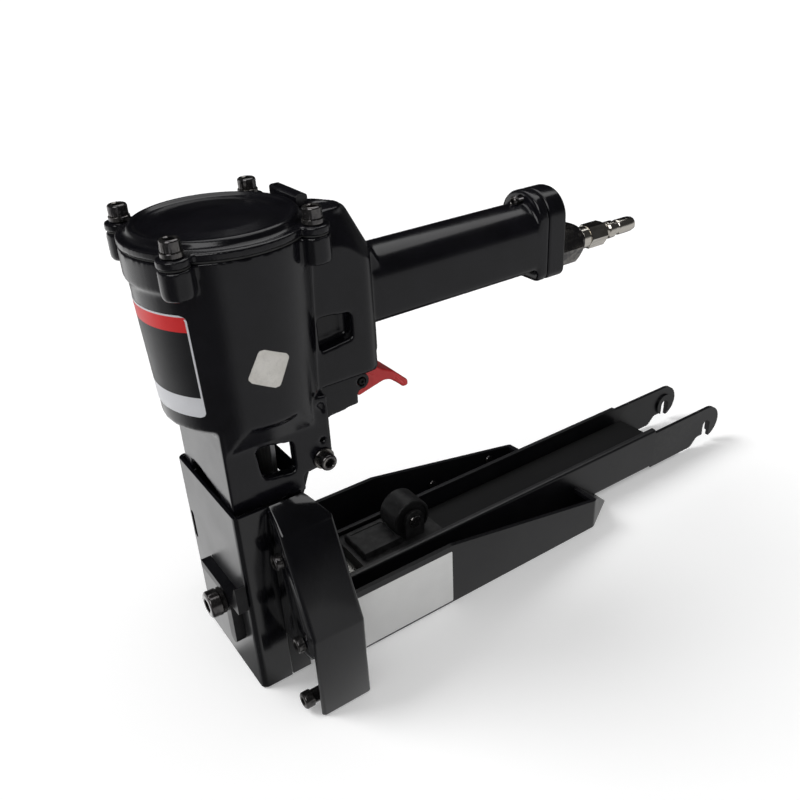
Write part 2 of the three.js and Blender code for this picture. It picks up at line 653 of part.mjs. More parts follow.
// Driver blade hanging from the piston rod, and the crosshead that drives both clinchers
function driverBlade() {
  const outline = [
    [-driver.halfWidth, driver.tipZ],
    [driver.halfWidth, driver.tipZ],
    [driver.halfWidth, driver.neckZ],
    [driver.neckHalf, driver.neckZ],
    [driver.neckHalf, driver.neckTopZ],
    [-driver.neckHalf, driver.neckTopZ],
    [-driver.neckHalf, driver.neckZ],
    [-driver.halfWidth, driver.neckZ],
  ];
  return slab('x', outline, bladeFrontX, bladeBackX);
}
addPart('driver_blade', driverBlade(), toolSteel);

// Where the yoke pin sits at rest, on the right clincher
const pinY = clincher.pivotY + yokePin.reach * Math.cos(radians(yokePin.angle));
const pinZ = clincher.pivotZ + yokePin.reach * Math.sin(radians(yokePin.angle));

function yokeSolid(sy) {
  const half = yoke.slotHeight / 2;
  const plate = onSide([
    [yoke.inner, yoke.lowZ],
    [yoke.outer, yoke.lowZ],
    [yoke.outer, pinZ + half + yoke.rim],
    [crossheadHalf, crosshead.lowZ],
    [crossheadHalf, crossheadTopZ],
    [yoke.inner, crossheadTopZ],
  ], sy);
  const slotSpan = mirroredSpan(yoke.inner - gap.overrun, yoke.outer - yoke.rim, sy);
  const slotDepth = [yoke.frontX - gap.overrun, yoke.backX + gap.overrun];
  const slot = block(slotDepth, slotSpan, [pinZ - half, pinZ + half]);
  const linkSpan = mirroredSpan(yoke.inner, crossheadHalf, sy);
  const link = block([yoke.frontX, swingBackX], linkSpan, [crosshead.lowZ, crossheadTopZ]);
  return joined(cut(slab('x', plate, yoke.frontX, yoke.backX), slot), link);
}

function crossheadSolid() {
  const bar = block([swingFrontX, swingBackX], [-crossheadHalf, crossheadHalf], [crosshead.lowZ, crossheadTopZ]);
  const bladeSlot = block(
    [bladeFrontX - gap.seat, bladeBackX + gap.seat],
    [-driver.halfWidth - gap.seat, driver.halfWidth + gap.seat],
    [crosshead.lowZ - gap.overrun, crossheadTopZ + gap.overrun],
  );
  return joined(cut(bar, bladeSlot), yokeSolid(-1), yokeSolid(1));
}
addPart('crosshead', crossheadSolid(), toolSteel);

// Nose: a front block with ears for the guards, a back plate behind the driver's channel
function adjusterHole(low, high) {
  return rod('x', adjuster.shankRadius + gap.running, low, high, facets.medium, [0, adjuster.y, adjuster.z]);
}

const guardScrewPlaces = [
  ['upper', guardScrew.upperY, guardScrew.upperZ],
  ['lower', guardScrew.lowerY, guardScrew.lowerZ],
];

function guardScrewHole(y, z, low, high) {
  return rod('x', guardScrew.shankRadius + gap.seat, low, high, facets.small, [0, y, z]);
}

function pivotHole(sy, low, high) {
  return rod('x', pivotPin.radius + gap.seat, low, high, facets.small, pivotPlace(sy));
}

function noseFrontBlock() {
  const half = nose.halfWidth;
  const root = half - gap.overrun;
  const padSpan = [-nosePad.halfWidth, nosePad.halfWidth];
  let solid = joined(
    block([nose.frontX, blockBackX], [-half, half], [nose.bottomZ, noseTopZ]),
    block([blockBackX - gap.overrun, blockBackX + nose.pad], padSpan, [nose.bottomZ, nosePad.topZ]),
  );
  const spacerDepth = [blockBackX - gap.overrun, plateFrontX - gap.seat];
  for (const [, sy] of hands) {
    const ear = onSide([
      [root, blockEar.lowZ],
      [blockEar.lowY, blockEar.lowZ],
      [blockEar.lowY, blockEar.kneeZ],
      [blockEar.highY, blockEar.highZ],
      [root, blockEar.highZ],
    ], sy);
    const spacer = mirroredSpan(noseSpacer.inner, noseSpacer.outer, sy);
    solid = solid.add(slab('x', ear, blockEar.frontX, blockEar.backX));
    solid = solid.add(block(spacerDepth, spacer, [noseSpacer.lowZ, noseSpacer.highZ]));
    for (const [, y, z] of guardScrewPlaces) {
      const through = [blockEar.frontX - gap.overrun, blockEar.backX + gap.overrun];
      solid = solid.subtract(guardScrewHole(y * sy, z, ...through));
    }
    solid = solid.subtract(pivotHole(sy, blockBackX - pivotPin.depth - gap.seat, blockBackX + gap.overrun));
  }
  return cut(solid, adjusterHole(nose.frontX - gap.overrun, blockBackX - gap.overrun));
}
addPart('nose_front_block', noseFrontBlock(), blackSheet);

function noseBackPlate() {
  const half = nose.halfWidth;
  const padFrontX = plateFrontX - nose.pad;
  const padSpan = [-nosePad.halfWidth, nosePad.halfWidth];
  const over = plateBackX + gap.overrun;
  const rootX = plateBackX - nose.pad;
  let solid = joined(
    block([plateFrontX, plateBackX], [-half, half], [nose.bottomZ, nose.backTopZ]),
    block([padFrontX, plateBackX], padSpan, [feed.highZ, nosePad.topZ]),
  );
  const entry = [nose.bottomZ - gap.overrun, feed.highZ];
  solid = solid.subtract(block([padFrontX, over], [-feed.halfWidth, feed.halfWidth], entry));
  for (const [, sy] of hands) {
    const arm = [
      [rootX, tongue.rootLowZ],
      [tongue.backX, tongue.lowZ],
      [tongue.backX, tongue.topZ],
      [tongue.kneeX, tongue.topZ],
      [rootX, tongue.rootTopZ],
    ];
    const span = mirroredSpan(tongue.inner, tongue.outer, sy);
    const through = mirroredSpan(tongue.inner - gap.overrun, tongue.outer + gap.overrun, sy);
    const boltHole = neckBolt.shankRadius + gap.seat;
    solid = solid.add(slab('y', arm, ...span));
    solid = solid.subtract(rod('y', boltHole, ...through, facets.small, [lug.boltX, 0, lug.boltZ]));
    solid = solid.subtract(pivotHole(sy, plateFrontX - gap.overrun, over));
  }
  return solid;
}
addPart('nose_back_plate', noseBackPlate(), blackSheet);

// U-shaped front plate in folded sheet, with a slot and the adjuster's hole
function frontPlateSolid() {
  const half = nose.halfWidth;
  const inner = half - frontPlate.sheet;
  const backOfFace = frontPlate.faceX + frontPlate.sheet;
  const through = [frontPlate.faceX - gap.overrun, backOfFace + gap.overrun];
  const outer = block([frontPlate.faceX, frontPlate.backX], [-half, half], [nose.bottomZ, frontPlate.topZ]);
  const hollow = block(
    [backOfFace, frontPlate.backX + gap.overrun],
    [-inner, inner],
    [nose.bottomZ - gap.overrun, frontPlate.topZ + gap.overrun],
  );
  const slot = block(through, [plateSlot.inner, plateSlot.outer], [plateSlot.lowZ, plateSlot.highZ]);
  return cut(outer, hollow, slot, adjusterHole(...through));
}
addPart('front_plate', frontPlateSolid(), blackSheet);

// Adjuster: cross-shaped bracket, lock nut and a socket head screw along X
const bracketBackX = frontPlate.faceX - gap.seat;
const bracketFrontX = bracketBackX - bracket.thickness;
const nutBackX = bracketFrontX - gap.seat;
const nutFrontX = nutBackX - lockNut.thickness;

function adjusterBracket() {
  const half = nose.halfWidth;
  const depth = [bracketFrontX, bracketBackX];
  const leg = [bracket.legY - bracket.legHalf, bracket.legY + bracket.legHalf];
  const wing = [
    [-half, bracket.lowZ],
    [-half + gusset.width, bracket.lowZ],
    [-half + gusset.width, bracket.highZ],
    [-half, gusset.highZ],
  ];
  const solid = joined(
    block(depth, [-half, bracket.farY], [bracket.lowZ, bracket.highZ]),
    block(depth, leg, [bracket.legLowZ, bracket.highZ]),
    rod('x', bracket.legHalf, ...depth, facets.small, [0, bracket.legY, bracket.legLowZ]),
    rod('x', bracket.hub, ...depth, facets.medium, [0, adjuster.y, adjuster.z]),
    slab('x', wing, ...depth),
  );
  return cut(solid, adjusterHole(bracketFrontX - gap.overrun, bracketBackX + gap.overrun));
}
addPart('adjuster_bracket', adjusterBracket(), blackSheet);

const nutSolid = cut(
  rod('x', lockNut.radius, nutFrontX, nutBackX, facets.hex),
  rod('x', adjuster.shankRadius + gap.seat, nutFrontX - gap.overrun, nutBackX + gap.overrun, facets.medium),
);
addPart('lock_nut', nutSolid, screwSteel, [0, adjuster.y, adjuster.z]);

function adjusterScrew() {
  const headBack = adjuster.frontX + adjuster.head;
  const chamfer = adjuster.head * headChamferShare;
  const profile = [
    [0, adjuster.frontX],
    [adjuster.headRadius - chamfer, adjuster.frontX],
    [adjuster.headRadius, adjuster.frontX + chamfer],
    [adjuster.headRadius, headBack],
    [adjuster.shankRadius, headBack],
    [adjuster.shankRadius, headBack + adjuster.shank],
    [0, headBack + adjuster.shank],
  ];
  const across = adjuster.headRadius * 2 * socketShare;
  const socketEnd = adjuster.frontX + adjuster.head * socketDepthShare;
  return cut(turned('x', profile, facets.medium), hexBar('x', across, adjuster.frontX - gap.overrun, socketEnd));
}
addPart('adjuster_screw', adjusterScrew(), screwSteel, [0, adjuster.y, adjuster.z]);

// Side guards in folded sheet, with a front flange and a rear flange
const guardLine = [
  [guard.outerY, guard.bottomZ],
  [guard.outerY, guard.kneeZ],
  [guard.crownY, guard.crownZ],
  [guardTop.y, guardTop.z],
];
const guardInnerLine = offsetLine(guardLine, -guard.sheet);

function sideGuard(sy) {
  const skin = onSide([...guardLine, ...guardInnerLine.slice().reverse()], sy);
  const front = onSide([
    [guardTop.y, guardTop.z - frontFlange.topDrop],
    [frontFlange.upperY, frontFlange.upperZ],
    [frontFlange.midY, frontFlange.midZ],
    [guard.outerY, guard.kneeZ],
    [flangeFoot.endY, flangeFoot.endZ],
    [flangeFoot.y, flangeFoot.z],
    [guardTop.y, flangeFoot.z],
  ], sy);
  const rear = onSide([
    [base.halfWidth + rearFlange.baseGap, guard.bottomZ],
    [guard.outerY, guard.bottomZ],
    [guard.outerY, guard.kneeZ],
    [guard.crownY, guard.crownZ],
    [rearFlange.topY, rearFlange.topZ],
  ], sy);
  const studPlace = [0, stud.y * sy, stud.z];
  const rearSpan = [guard.backX - guard.sheet, guard.backX];
  const rearThrough = [rearSpan[0] - gap.overrun, rearSpan[1] + gap.overrun];
  const frontThrough = [guard.frontX - gap.overrun, guard.frontX + guard.sheet + gap.overrun];
  const over = guardTop.z + gap.overrun;
  const corner = [
    [guard.backX, guard.crownZ],
    [guard.backX + gap.overrun, guard.crownZ],
    [guard.backX + gap.overrun, over],
    [guardTop.cutX, over],
    [guardTop.cutX, guardTop.z],
  ];
  const solid = joined(
    slab('x', skin, guard.frontX, guard.backX),
    slab('x', front, guard.frontX, guard.frontX + guard.sheet),
    slab('x', rear, ...rearSpan),
  );
  const length = [guard.frontX - gap.overrun, guard.backX + gap.overrun];
  return cut(
    solid,
    block(length, mirroredSpan(0, guardTop.y, sy), [guard.bottomZ, over]),
    slab('y', corner, ...mirroredSpan(0, guard.outerY, sy)),
    rod('x', stud.shankRadius + gap.seat, ...rearThrough, facets.small, studPlace),
    ...guardScrewPlaces.map(([, y, z]) => guardScrewHole(y * sy, z, ...frontThrough)),
  );
}

// A socket head stud with a spacer sleeve, its seat at the rear flange
function studSolid() {
  const front = stud.headBackX - stud.head;
  const seat = guard.backX - guard.sheet - gap.face;
  const end = guard.backX + guard.sheet;
  const chamfer = stud.head * headChamferShare;
  const profile = [
    [0, front],
    [stud.headRadius - chamfer, front],
    [stud.headRadius, front + chamfer],
    [stud.headRadius, stud.headBackX],
    [stud.sleeveRadius, stud.headBackX],
    [stud.sleeveRadius, seat],
    [stud.shankRadius, seat],
    [stud.shankRadius, end],
    [0, end],
  ];
  const across = stud.headRadius * 2 * socketShare;
  const socket = hexBar('x', across, front - gap.overrun, front + stud.head * socketDepthShare);
  return cut(turned('x', profile, facets.small), socket);
}

const guardBolt = { ...guardScrew, bite: blockEar.backX - guard.frontX };
for (const [hand, sy] of hands) {
  addPart(`side_guard_${hand}`, sideGuard(sy), blackSheet);
  for (const [level, y, z] of guardScrewPlaces) {
    const place = [guard.frontX - gap.face, y * sy, z];
    addPart(`guard_screw_${hand}_${level}`, screwSolid('x', guardBolt, -1), screwSteel, place);
  }
  addPart(`guard_stud_${hand}`, studSolid(), screwSteel, [0, stud.y * sy, stud.z]);
}

// Clinchers: hub, web, claw tapering to its tip and a drive pin towards the front
function clincherSolid(sy) {
  const tipRadius = clincher.innerRadius + (clincher.outerRadius - clincher.innerRadius) * claw.tipShare;
  const outer = arcPoints([0, 0], clincher.outerRadius, claw.tipAngle, claw.heelAngle, facets.clawOuter);
  const inner = arcPoints([0, 0], clincher.innerRadius, claw.heelAngle, claw.fullAngle, facets.clawInner);
  const tip = [tipRadius * Math.cos(radians(claw.tipAngle)), tipRadius * Math.sin(radians(claw.tipAngle))];
  const webRim = arcPoints([0, 0], clincher.innerRadius + gap.overrun, claw.webAngle, claw.heelAngle, facets.arc);
  const drive = [0, (pinY - clincher.pivotY) * sy, pinZ - clincher.pivotZ];
  const solid = joined(
    slab('x', onSide([...outer, ...inner, tip], sy), swingFrontX, swingBackX),
    slab('x', onSide([[0, 0], ...webRim], sy), swingFrontX, swingBackX),
    rod('x', clincher.hubRadius, swingFrontX, swingBackX, facets.medium),
    rod('x', yokePin.radius, swingFrontX - yokePin.length, swingBackX, facets.small, drive),
  );
  const bore = pivotPin.radius + gap.running;
  return cut(solid, rod('x', bore, swingFrontX - gap.overrun, swingBackX + gap.overrun, facets.small));
}

for (const [hand, sy] of hands) {
  const pinSpan = [blockBackX - pivotPin.depth, plateBackX];
  const seat = [lug.boltX, (neck.halfWidth + gap.face) * sy, lug.boltZ];
  addPart(`clincher_${hand}`, clincherSolid(sy), toolSteel, pivotPlace(sy));
  addPart(`clincher_pin_${hand}`, rod('x', pivotPin.radius, ...pinSpan, facets.small), toolSteel, pivotPlace(sy));
  addPart(`neck_bolt_${hand}`, screwSolid('y', neckBolt, sy), screwSteel, seat);
}

// Base tray: floor, walls that slope down towards the rear and pointed rear corners
const rivetPlaces = [baseRivet.frontX, baseRivet.backX].flatMap((x) => hands.map(([, sy]) => [x, sy]));

function baseFrame() {
  const half = base.halfWidth;
  const top = base.wallHeight;
  const plan = [
    [base.frontX, -half],
    [base.backX, -half],
    [basePoint.backX, -basePoint.halfWidth],
    [basePoint.backX, basePoint.halfWidth],
    [base.backX, half],
    [base.frontX, half],
  ];
  const side = [
    [base.frontX, 0],
    [basePoint.backX, 0],
    [basePoint.innerX, base.lowHeight],
    [base.backX, base.lowHeight],
    [base.levelX, top],
    [base.frontX, top],
  ];
  const inside = half - base.wall;
  const over = top + gap.overrun;
  const rearInside = basePoint.backX - basePoint.solidX;
  const cornerX = base.backX - base.wall / 2;
  const hollowPlan = [
    [base.frontX - gap.overrun, -inside],
    [cornerX, -inside],
    [rearInside, -basePoint.halfWidth],
    [rearInside, basePoint.halfWidth],
    [cornerX, inside],
    [base.frontX - gap.overrun, inside],
  ];
  const hollowSide = [
    [base.frontX - gap.overrun, base.floor],
    [rearInside, base.floor],
    [cornerX, base.lowHeight - base.wall],
    [cornerX, over],
    [base.frontX - gap.overrun, over],
  ];
  const body = common(slab('y', side, -half, half), slab('z', plan, 0, top));
  const hollow = common(slab('y', hollowSide, -half, half), slab('z', hollowPlan, base.floor, over));
  const length = [base.frontX - gap.overrun, basePoint.backX + gap.overrun];
  const middle = block(length, [-basePoint.innerY, basePoint.innerY], [base.floor, over]);
  const holes = rivetPlaces.map(([x, sy]) => {
    const span = mirroredSpan(inside - gap.overrun, half + gap.overrun, sy);
    return rod('y', baseRivet.shankRadius + gap.seat, ...span, facets.tiny, [x, 0, baseRivet.z]);
  });
  return cut(body, hollow, middle, ...holes);
}
addPart('base_frame', baseFrame(), blackSheet);

rivetPlaces.forEach(([x, sy], i) => {
  const seat = base.halfWidth - base.wall - gap.face;
  const outside = base.halfWidth - gap.face;
  const profile = [
    [0, seat - baseRivet.head],
    [baseRivet.headRadius * socketShare, seat - baseRivet.head],
    [baseRivet.headRadius, seat - baseRivet.head * socketShare],
    [baseRivet.headRadius, seat],
    [baseRivet.shankRadius, seat],
    [baseRivet.shankRadius, outside],
    [0, outside],
  ];
  const mirrored = profile.map(([radius, reach]) => [radius, reach * sy]);
  addPart(`base_rivet_${i + 1}`, turned('y', mirrored, facets.tiny), screwSteel, [x, 0, baseRivet.z]);
});

// Magazine channel with inward lips, and an open tail ending in two hooks
function tailArm(sy) {
  const top = tail.hookZ + tail.hookRadius;
  const frontX = rail.lipBackX - gap.overrun;
  const side = [
    [frontX, rail.bottomZ],
    [tail.cutX, rail.bottomZ],
    [tail.cutEndX, tail.cutZ],
    [tail.hookX, tail.cutZ],
    [tail.hookX, top],
    [frontX, top],
  ];
  const bossInner = railInner - tailHook.boss;
  const wall = mirroredSpan(railInner, rail.outer, sy);
  const bossSpan = mirroredSpan(bossInner, rail.outer, sy);
  const through = mirroredSpan(bossInner - gap.overrun, rail.outer + gap.overrun, sy);
  const slotCentre = [tail.hookX, 0, tailHook.slotZ];
  const slotWidth = [tail.hookX - tailHook.slotRadius, tail.hookX + tailHook.slotRadius];
  const arm = joined(
    slab('y', side, ...wall),
    rod('y', tail.hookRadius, ...wall, facets.medium, [tail.hookX, 0, tail.hookZ]),
    rod('y', tailHook.bossRadius, ...bossSpan, facets.medium, slotCentre),
  );
  return cut(
    arm,
    rod('y', tailHook.slotRadius, ...through, facets.small, slotCentre),
    block(slotWidth, through, [rail.bottomZ, tailHook.slotZ]),
  );
}

function magazineChannel() {
  const lipUnder = rail.topZ - rail.lip;
  const floorTop = rail.bottomZ + rail.floor;
  const right = [
    [rail.outer, rail.bottomZ],
    [rail.outer, rail.topZ],
    [rail.lipInner, rail.topZ],
    [rail.lipInner, lipUnder],
    [railInner, lipUnder],
    [railInner, floorTop],
  ];
  const section = [...right, ...onSide(right, -1).reverse()];
  const floorSpan = [rail.lipBackX - gap.overrun, tail.floorBackX];
  return joined(
    slab('x', section, railFrontX, rail.lipBackX),
    block(floorSpan, [-rail.outer, rail.outer], [rail.bottomZ, floorTop]),
    tailArm(-1),
    tailArm(1),
  );
}
addPart('magazine_channel', magazineChannel(), blackSheet);

// Staple core: an inverted channel that the staples ride on
function invertedChannel(half, sheet, low, high) {
  return [
    [-half, low],
    [-half, high],
    [half, high],
    [half, low],
    [half - sheet, low],
    [half - sheet, high - sheet],
    [-half + sheet, high - sheet],
    [-half + sheet, low],
  ];
}
const coreSection = invertedChannel(core.halfWidth, core.sheet, coreLowZ, core.topZ);
addPart('staple_core', slab('x', coreSection, railFrontX, rail.lipBackX), toolSteel);

const stapleSection = invertedChannel(staple.crown / 2, staple.wire, staple.legLowZ, staple.topZ);
addPart('staple_stick', slab('x', stapleSection, stapleFrontX, stapleBackX), nickel);

// Pusher: a saddle over the core with a step and two ears that carry the spring drum
const drumPlace = [drum.x, 0, drum.z];
const drumSide = drum.halfWidth + gap.running;
const earOuter = drumSide + drumEar.thickness;

function pusherSolid() {
  const lowZ = core.topZ + gap.running;
  const backX = pusherFrontX + pusher.length;
  const skirtOuter = pusher.halfWidth + pusher.skirt;
  const root = pusher.topZ - gap.overrun;
  const section = [
    [-skirtOuter, pusher.skirtLowZ],
    [-skirtOuter, pusher.topZ],
    [skirtOuter, pusher.topZ],
    [skirtOuter, pusher.skirtLowZ],
    [pusher.halfWidth, pusher.skirtLowZ],
    [pusher.halfWidth, lowZ],
    [-pusher.halfWidth, lowZ],
    [-pusher.halfWidth, pusher.skirtLowZ],
  ];
  const stepFront = pusherFrontX + pusherStep.inset;
  const stepSpan = [-pusherStep.halfWidth, pusherStep.halfWidth];
  const stepRise = [root, pusher.topZ + pusherStep.height];
  let solid = joined(
    slab('x', section, pusherFrontX, backX),
    block([stepFront, stepFront + pusherStep.length], stepSpan, stepRise),
  );
  const earWidth = [drum.x - drumEar.halfLength, drum.x + drumEar.halfLength];
  for (const [, sy] of hands) {
    const span = mirroredSpan(drumSide, earOuter, sy);
    solid = joined(
      solid,
      block(earWidth, span, [root, drum.z]),
      rod('y', drumEar.halfLength, ...span, facets.medium, drumPlace),
    );
  }
  const reach = earOuter + gap.overrun;
  const pocket = rod('y', drum.radius + gap.running, -drumSide, drumSide, facets.medium, drumPlace);
  const hole = rod('y', axle.radius + gap.face, -reach, reach, facets.small, drumPlace);
  return cut(solid, pocket, hole);
}
addPart('pusher', pusherSolid(), moulded);

function springDrum() {
  const half = drum.halfWidth;
  const dish = half - drum.rimDepth;
  const bore = axle.radius + gap.seat;
  const lip = drum.radius - drum.rim;
  const profile = [
    [bore, -half],
    [drum.hubRadius, -half],
    [drum.hubRadius, -dish],
    [lip, -dish],
    [lip, -half],
    [drum.radius, -half],
    [drum.radius, half],
    [lip, half],
    [lip, dish],
    [drum.hubRadius, dish],
    [drum.hubRadius, half],
    [bore, half],
    [bore, -half],
  ];
  return turned('y', profile, facets.medium);
}
addPart('spring_drum', springDrum(), moulded, drumPlace);

function drumAxle() {
  const seat = earOuter + gap.face;
  const end = seat + axle.head;
  const profile = [
    [0, -end],
    [axle.headRadius, -end],
    [axle.headRadius, -seat],
    [axle.radius, -seat],
    [axle.radius, seat],
    [axle.headRadius, seat],
    [axle.headRadius, end],
    [0, end],
  ];
  return turned('y', profile, facets.small);
}
addPart('drum_axle', drumAxle(), screwSteel, drumPlace);

// Trigger: two cheeks round the pin, a sole between them and a curved tip
const pivot = [trigger.pivotX, 0, trigger.pivotZ];

function triggerSolid() {
  const outline = [
    [trigger.frontX, trigger.lowZ],
    [triggerTip.saddleX, triggerTip.saddleZ],
    [triggerTip.x - triggerTip.thickness, triggerTip.z],
    [triggerTip.x, triggerTip.z],
    [triggerTip.x, triggerTip.z + triggerTip.thickness],
    [triggerTip.crestX, triggerTip.crestZ],
    [triggerBack.shoulderX, triggerBack.shoulderZ],
    [triggerBack.x, triggerBack.z],
    [trigger.frontX, trigger.topZ],
  ];
  const ahead = trigger.frontX - gap.overrun;
  const over = trigger.topZ + gap.overrun;
  const pocket = [
    [ahead, trigger.lowZ + trigger.sole],
    [triggerTip.saddleX - trigger.sole, triggerTip.saddleZ + trigger.sole],
    [triggerTip.saddleX - trigger.sole, over],
    [ahead, over],
  ];
  const inner = trigger.halfWidth - trigger.cheek;
  const outer = trigger.halfWidth - trigger.cheek / 2;
  const bridge = block(
    [valve.x - stem.collarRadius, valve.x + stem.collarRadius],
    [-outer, outer],
    [triggerBack.shoulderZ, trigger.topZ],
  );
  const reach = trigger.halfWidth + gap.overrun;
  const shape = slab('y', outline, -trigger.halfWidth, trigger.halfWidth);
  const shell = cut(shape, slab('y', pocket, -inner, inner));
  const hole = rod('y', triggerPin.radius + gap.seat, -reach, reach, facets.small, pivot);
  return cut(joined(shell, common(bridge, shape)), hole);
}
addPart('trigger', triggerSolid(), redPlastic);

const pinHalf = triggerBracket.halfWidth;
addPart('trigger_pin', rod('y', triggerPin.radius, -pinHalf, pinHalf, facets.small), screwSteel, pivot);

// Valve body, stem and spring in the pocket above the trigger
const valvePlace = [valve.x, 0, 0];
const chamberZ = valve.bottomZ + valve.floor;
const collarZ = chamberZ + gap.face;

function valveBody() {
  const profile = [
    [valve.bore, valve.bottomZ],
    [valve.radius, valve.bottomZ],
    [valve.radius, valve.topZ],
    [valve.chamber, valve.topZ],
    [valve.chamber, chamberZ],
    [valve.bore, chamberZ],
    [valve.bore, valve.bottomZ],
  ];
  return turned('z', profile, facets.medium);
}
addPart('trigger_valve_body', valveBody(), toolSteel, valvePlace);

function valveStem() {
  const collarTop = collarZ + stem.collar;
  const profile = [
    [0, stem.lowZ],
    [stem.radius, stem.lowZ],
    [stem.radius, collarZ],
    [stem.collarRadius, collarZ],
    [stem.collarRadius, collarTop],
    [stem.radius, collarTop],
    [stem.radius, stem.topZ],
    [0, stem.topZ],
  ];
  return turned('z', profile, facets.small);
}
addPart('valve_stem', valveStem(), toolSteel, valvePlace);

class Helix extends THREE.Curve {
  constructor(radius, height, coils) {
    super();
    this.radius = radius;
    this.height = height;
    this.coils = coils;
  }

  getPoint(t, target = new THREE.Vector3()) {
    const angle = t * this.coils * Math.PI * 2;
    return target.set(this.radius * Math.cos(angle), this.radius * Math.sin(angle), this.height * t);
  }
}

function springSolid() {
  const path = new Helix(valveSpring.meanRadius, valveSpring.height, valveSpring.coils);
  const round = arcPoints([0, 0], valveSpring.wire / 2, 0, fullTurn, valveSpring.sides).slice(1);
  const wire = new THREE.Shape(round.map(([u, v]) => new THREE.Vector2(u, v)));
  const steps = valveSpring.coils * valveSpring.steps;
  return solidOf(new THREE.ExtrudeGeometry(wire, { steps, extrudePath: path, bevelEnabled: false }));
}
const springLowZ = collarZ + stem.collar + gap.seat + valveSpring.wire / 2;
addPart('valve_spring', springSolid(), nickel, [valve.x, 0, springLowZ]);

// End cap of the handle, its screw, the inlet bushing and the coupler plug
const capEndX = endCapX + handleFlange.capThickness;
const screwAxis = [0, 0, endScrewZ];
const inletAxis = [0, 0, inlet.z];

function handleEndCap() {
  const inletHole = inlet.threadRadius + gap.seat;
  const screwHole = endScrew.shankRadius + gap.seat;
  const screwEnd = handle.endX - handleFlange.thickness + endScrew.bite;
  const low = endCapX - gap.overrun;
  return cut(
    slab('x', flangeSection(), endCapX, capEndX),
    rod('x', inletHole, low, capEndX + gap.overrun, facets.medium, inletAxis),
    rod('x', screwHole, low, screwEnd, facets.small, screwAxis),
  );
}
addPart('handle_end_cap', handleEndCap(), casting);

const endScrewSeat = [handle.endX - handleFlange.thickness - gap.face, 0, endScrewZ];
addPart('end_cap_screw', screwSolid('x', endScrew, -1), screwSteel, endScrewSeat);

function hexBushing() {
  const hexEnd = hexStartX + inlet.hexLength;
  const threadEnd = handle.endX - inlet.thread;
  const over = neckEndX + gap.overrun;
  return cut(
    joined(
      rod('x', inlet.threadRadius, threadEnd, hexEnd, facets.medium),
      hexBar('x', inlet.hexAcross, hexStartX, hexEnd),
      rod('x', inlet.neckRadius, hexEnd - gap.overrun, neckEndX, facets.medium),
    ),
    rod('x', inletBore.radius, threadEnd - gap.overrun, over, facets.small),
    rod('x', plug.seatRadius + gap.seat, neckEndX - plug.seatLength - gap.seat, over, facets.small),
  );
}
addPart('hex_bushing', hexBushing(), screwSteel, inletAxis);

function couplerPlug() {
  const seatX = neckEndX - plug.seatLength;
  const collarEnd = plugStartX + plug.collar;
  const hexEnd = collarEnd + plug.hexLength;
  const neckEnd = hexEnd + plugTip.neck;
  const ringEnd = neckEnd + plugTip.ring;
  const grooveEnd = ringEnd + plugTip.groove;
  const tipEnd = grooveEnd + plugTip.end;
  const profile = [
    [0, seatX],
    [plug.seatRadius, seatX],
    [plug.seatRadius, plugStartX],
    [plug.collarRadius, plugStartX],
    [plug.collarRadius, collarEnd],
    [plugTip.neckRadius, collarEnd],
    [plugTip.neckRadius, neckEnd],
    [plugTip.ringRadius, neckEnd],
    [plugTip.ringRadius, ringEnd],
    [plugTip.grooveRadius, ringEnd],
    [plugTip.grooveRadius, grooveEnd],
    [plugTip.endRadius, grooveEnd],
    [plugTip.grooveRadius, tipEnd],
    [0, tipEnd],
  ];
  return cut(
    joined(turned('x', profile, facets.medium), hexBar('x', plug.hexAcross, collarEnd - gap.face, hexEnd)),
    rod('x', inletBore.radius, seatX - gap.overrun, tipEnd + gap.overrun, facets.small),
  );
}
addPart('coupler_plug', couplerPlug(), nickel, inletAxis);

// The outer group puts the origin under the middle of the whole tool
const frontMost = Math.min(adjuster.frontX, -capRadius);
const rearMost = tail.hookX + tail.hookRadius;
tool.position.x = -(frontMost + rearMost) / 2;
const stapler = new THREE.Group();
stapler.add(tool);

export default stapler;
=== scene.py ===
import math

import bmesh
import bpy
from mathutils import Matrix, Vector


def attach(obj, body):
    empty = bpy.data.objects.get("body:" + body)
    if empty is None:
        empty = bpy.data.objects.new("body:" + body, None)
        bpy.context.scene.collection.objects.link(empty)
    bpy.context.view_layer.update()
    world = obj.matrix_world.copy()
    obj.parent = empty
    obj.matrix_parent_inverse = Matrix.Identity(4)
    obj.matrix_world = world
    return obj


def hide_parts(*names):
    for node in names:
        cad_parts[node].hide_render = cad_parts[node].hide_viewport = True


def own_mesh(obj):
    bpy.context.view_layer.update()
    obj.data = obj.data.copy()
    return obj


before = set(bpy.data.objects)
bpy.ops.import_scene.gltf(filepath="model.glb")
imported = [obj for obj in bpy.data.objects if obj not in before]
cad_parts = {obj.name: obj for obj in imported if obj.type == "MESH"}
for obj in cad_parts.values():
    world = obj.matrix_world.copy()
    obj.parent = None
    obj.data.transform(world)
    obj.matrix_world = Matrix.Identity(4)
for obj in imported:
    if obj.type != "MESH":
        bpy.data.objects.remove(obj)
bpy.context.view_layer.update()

mm = 0.001
middleX = 154.5  # the CAD puts its origin under the middle of the tool; below, x = 0 is the cylinder's axis


def spot(x, y, z):
    return Vector(((x - middleX) * mm, y * mm, z * mm))


# Camera: the photograph's angle
camera = {"place": (-126.5, -332.6, 337.4), "azimuth": -32.9, "elevation": 29.3, "roll": -3.1,
          "lens": 37.68, "sensor": 36}


